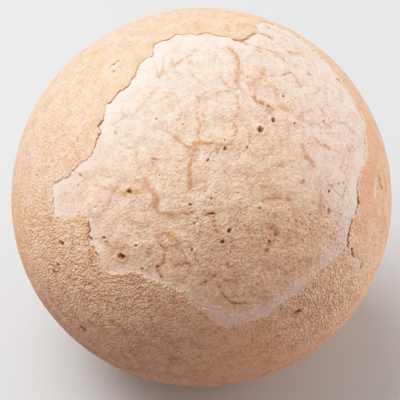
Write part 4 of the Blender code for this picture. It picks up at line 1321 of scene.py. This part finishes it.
    crack = kept("crack") + (ragged - 0.5) * 1.0
    dark = crack.fade(0.25, 0.8) * kept("strength")
    crack_colour = finish.mix(VEIN_ORANGE, CRACK_BROWN, kept("shade").step(0.2, 0.9))
    paint(crack_colour, dark)
    chip = (kept("chip") + (ragged - 0.5) * 1.1).fade(0.3, 0.65)
    paint(CHIP_PALE, chip * (1 - dark) * (0.3 + sandy.step(0.3, 0.6) * 0.5))

    finish.stains(CRUST_STAIN_AND_SHADE, 2.9, 0.9)
    finish.pit_bottoms(kept("pit") + (ragged - 0.5) * 0.7, 1.1)
    fine = (noise_at(place, 0.38, 1, 0.6) + sandy * 0.12) * CRUST_BUMP
    taller = GRAIN_BUMP * (1.3 - up.step(-16.0, -4.0) * 0.75)
    return finish.end(fine * (0.5 + 0.5 * coarse) + grains * sand * taller, 1.0)


# ---------------------------------------------------------------- the scene
def soft_light(name, direction, strength):
    """A square softbox at this direction in the frame's axes, seen from the egg's middle."""
    data = bpy.data.lights.new(name, "AREA")
    data.size = LIGHT_SIZE
    data.energy = strength * math.pi**2 * LIGHT_DISTANCE**2
    light = linked(name, data)
    toward = Vector(direction).normalized()
    light.location = Vector(MIDDLE * MM) + toward * LIGHT_DISTANCE
    light.rotation_mode = "QUATERNION"
    light.rotation_quaternion = toward.to_track_quat("Z", "Y")


def tones():
    """The picture's tone curve: soft in the brightest parts, a little deeper in the dark ones."""
    view = bpy.context.scene.view_settings
    view.view_transform = "Standard"
    view.use_curve_mapping = True
    view.curve_mapping.white_level = (BRIGHTEST,) * 3
    for light, shown in TONES:
        view.curve_mapping.curves[3].points.new(light / BRIGHTEST, shown)
    view.curve_mapping.update()


def sky():
    """Even light from above, less from below, and a plain pale wall where the camera sees it."""
    world = bpy.data.worlds.new("room")
    bpy.context.scene.world = world
    world.use_nodes = True
    bench = Bench(world.node_tree)
    height = bench.node("ShaderNodeTexCoord", output="Generated").along((0, 0, 1))
    light = bench.mix((SKY_BELOW,) * 3, (SKY_ABOVE,) * 3, height.step(*SKY_BAND))
    seen = bench.mix(light, (WALL_TONE,) * 3, bench.node("ShaderNodeLightPath", output="Is Camera Ray"))
    background = world.node_tree.nodes["Background"]
    world.node_tree.links.new(seen.socket, background.inputs["Color"])


def floor():
    """A plain pale floor, which takes the egg's shadow but throws no light back up at it."""
    half = FLOOR_SIZE / 2
    corners = [(x * half, y * half, 0) for x, y in ((-1, -1), (1, -1), (1, 1), (-1, 1))]
    mesh = bpy.data.meshes.new("floor")
    mesh.from_pydata(corners, [], [(0, 1, 2, 3)])
    made = linked("floor", mesh)
    material = bpy.data.materials.new("floor paint")
    material.use_nodes = True
    shader = material.node_tree.nodes["Principled BSDF"]
    shader.inputs["Base Color"].default_value = FLOOR_COLOUR
    shader.inputs["Roughness"].default_value = FLOOR_ROUGHNESS
    mesh.materials.append(material)
    made.visible_diffuse = False
    made.visible_shadow = False


def camera():
    data = bpy.data.cameras.new("camera")
    data.lens = CAMERA_LENS
    data.sensor_width = CAMERA_SENSOR
    made = linked("camera", data)
    bpy.context.scene.camera = made
    away = FACE_OUT * EYE_DISTANCE + FACE_RIGHT * CAMERA_RIGHT + FACE_UP * CAMERA_UP
    made.location = (Vector(MIDDLE) + away) * MM
    made.rotation_mode = "QUATERNION"
    made.rotation_quaternion = FACE_OUT.to_track_quat("Z", "Y")
    data.clip_start = 0.01


def within_solid(piece):
    """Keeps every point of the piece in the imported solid's box."""
    places = np.zeros(len(piece.data.vertices) * 3, np.float32)
    piece.data.vertices.foreach_get("co", places)
    low, high = np.array(solid_low) + BOX_MARGIN, np.array(solid_high) - BOX_MARGIN
    places = np.clip(places.reshape(-1, 3), low, high)
    piece.data.vertices.foreach_set("co", places.astype(np.float32).ravel())
    piece.data.update()


MIDDLE = middle_of_egg()
camera()
tones()
floor()
sky()
for name, direction, strength in LIGHTS:
    soft_light(name, direction, strength)

edge_loop = ragged_edge()
stone = stone_body(edge_loop)
veins = line_guide("veins", VEINS, True)
marks = STONE_PITS + STONE_SPOTS
stone_pits = pit_guide(
    "stone pits", [on_stone(right, up) for right, up, _, _ in marks], [mark[2] for mark in marks],
    [mark[3] for mark in marks], [1] * len(STONE_PITS) + [0] * len(STONE_SPOTS), True,
)
shaped(stone, stone_shaping(), {
    "Veins": veins, "Pits": stone_pits, "Middle": tuple(MIDDLE * MM),
    "Waviness": STONE_WAVINESS, "Roughness": STONE_ROUGHNESS, "Finish": stone_finish(),
})

crust = crust_shell(edge_loop)
cracks = line_guide("cracks", CRACKS, False)
chips = line_guide("chips", chip_lines(), False)
marks = [(on_face(right, up), radius, stain, 1) for right, up, radius, stain in CRUST_PITS]
marks += [(on_face(right, up), radius, stain, 0) for right, up, radius, stain in CRUST_SPOTS]
marks += [(direction, radius, HIDDEN_STAIN, 1) for direction, radius in hidden_pits()]
crust_pits = pit_guide("crust pits", *zip(*marks), False)
shaped(crust, crust_shaping(), {
    "Cracks": cracks, "Pits": crust_pits, "Chips": chips, "Middle": tuple(MIDDLE * MM),
    "Grain height": GRAIN_HEIGHT, "Grain size": GRAIN_SIZE, "Roughness": CRUST_ROUGHNESS,
    "Finish": crust_finish(),
})

for guide in (veins, stone_pits, cracks, chips, crust_pits):
    bpy.data.objects.remove(guide)
for piece, slot in ((stone, "stone"), (crust, "crust")):
    within_solid(piece)
    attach(piece, "root")
    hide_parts("egg")
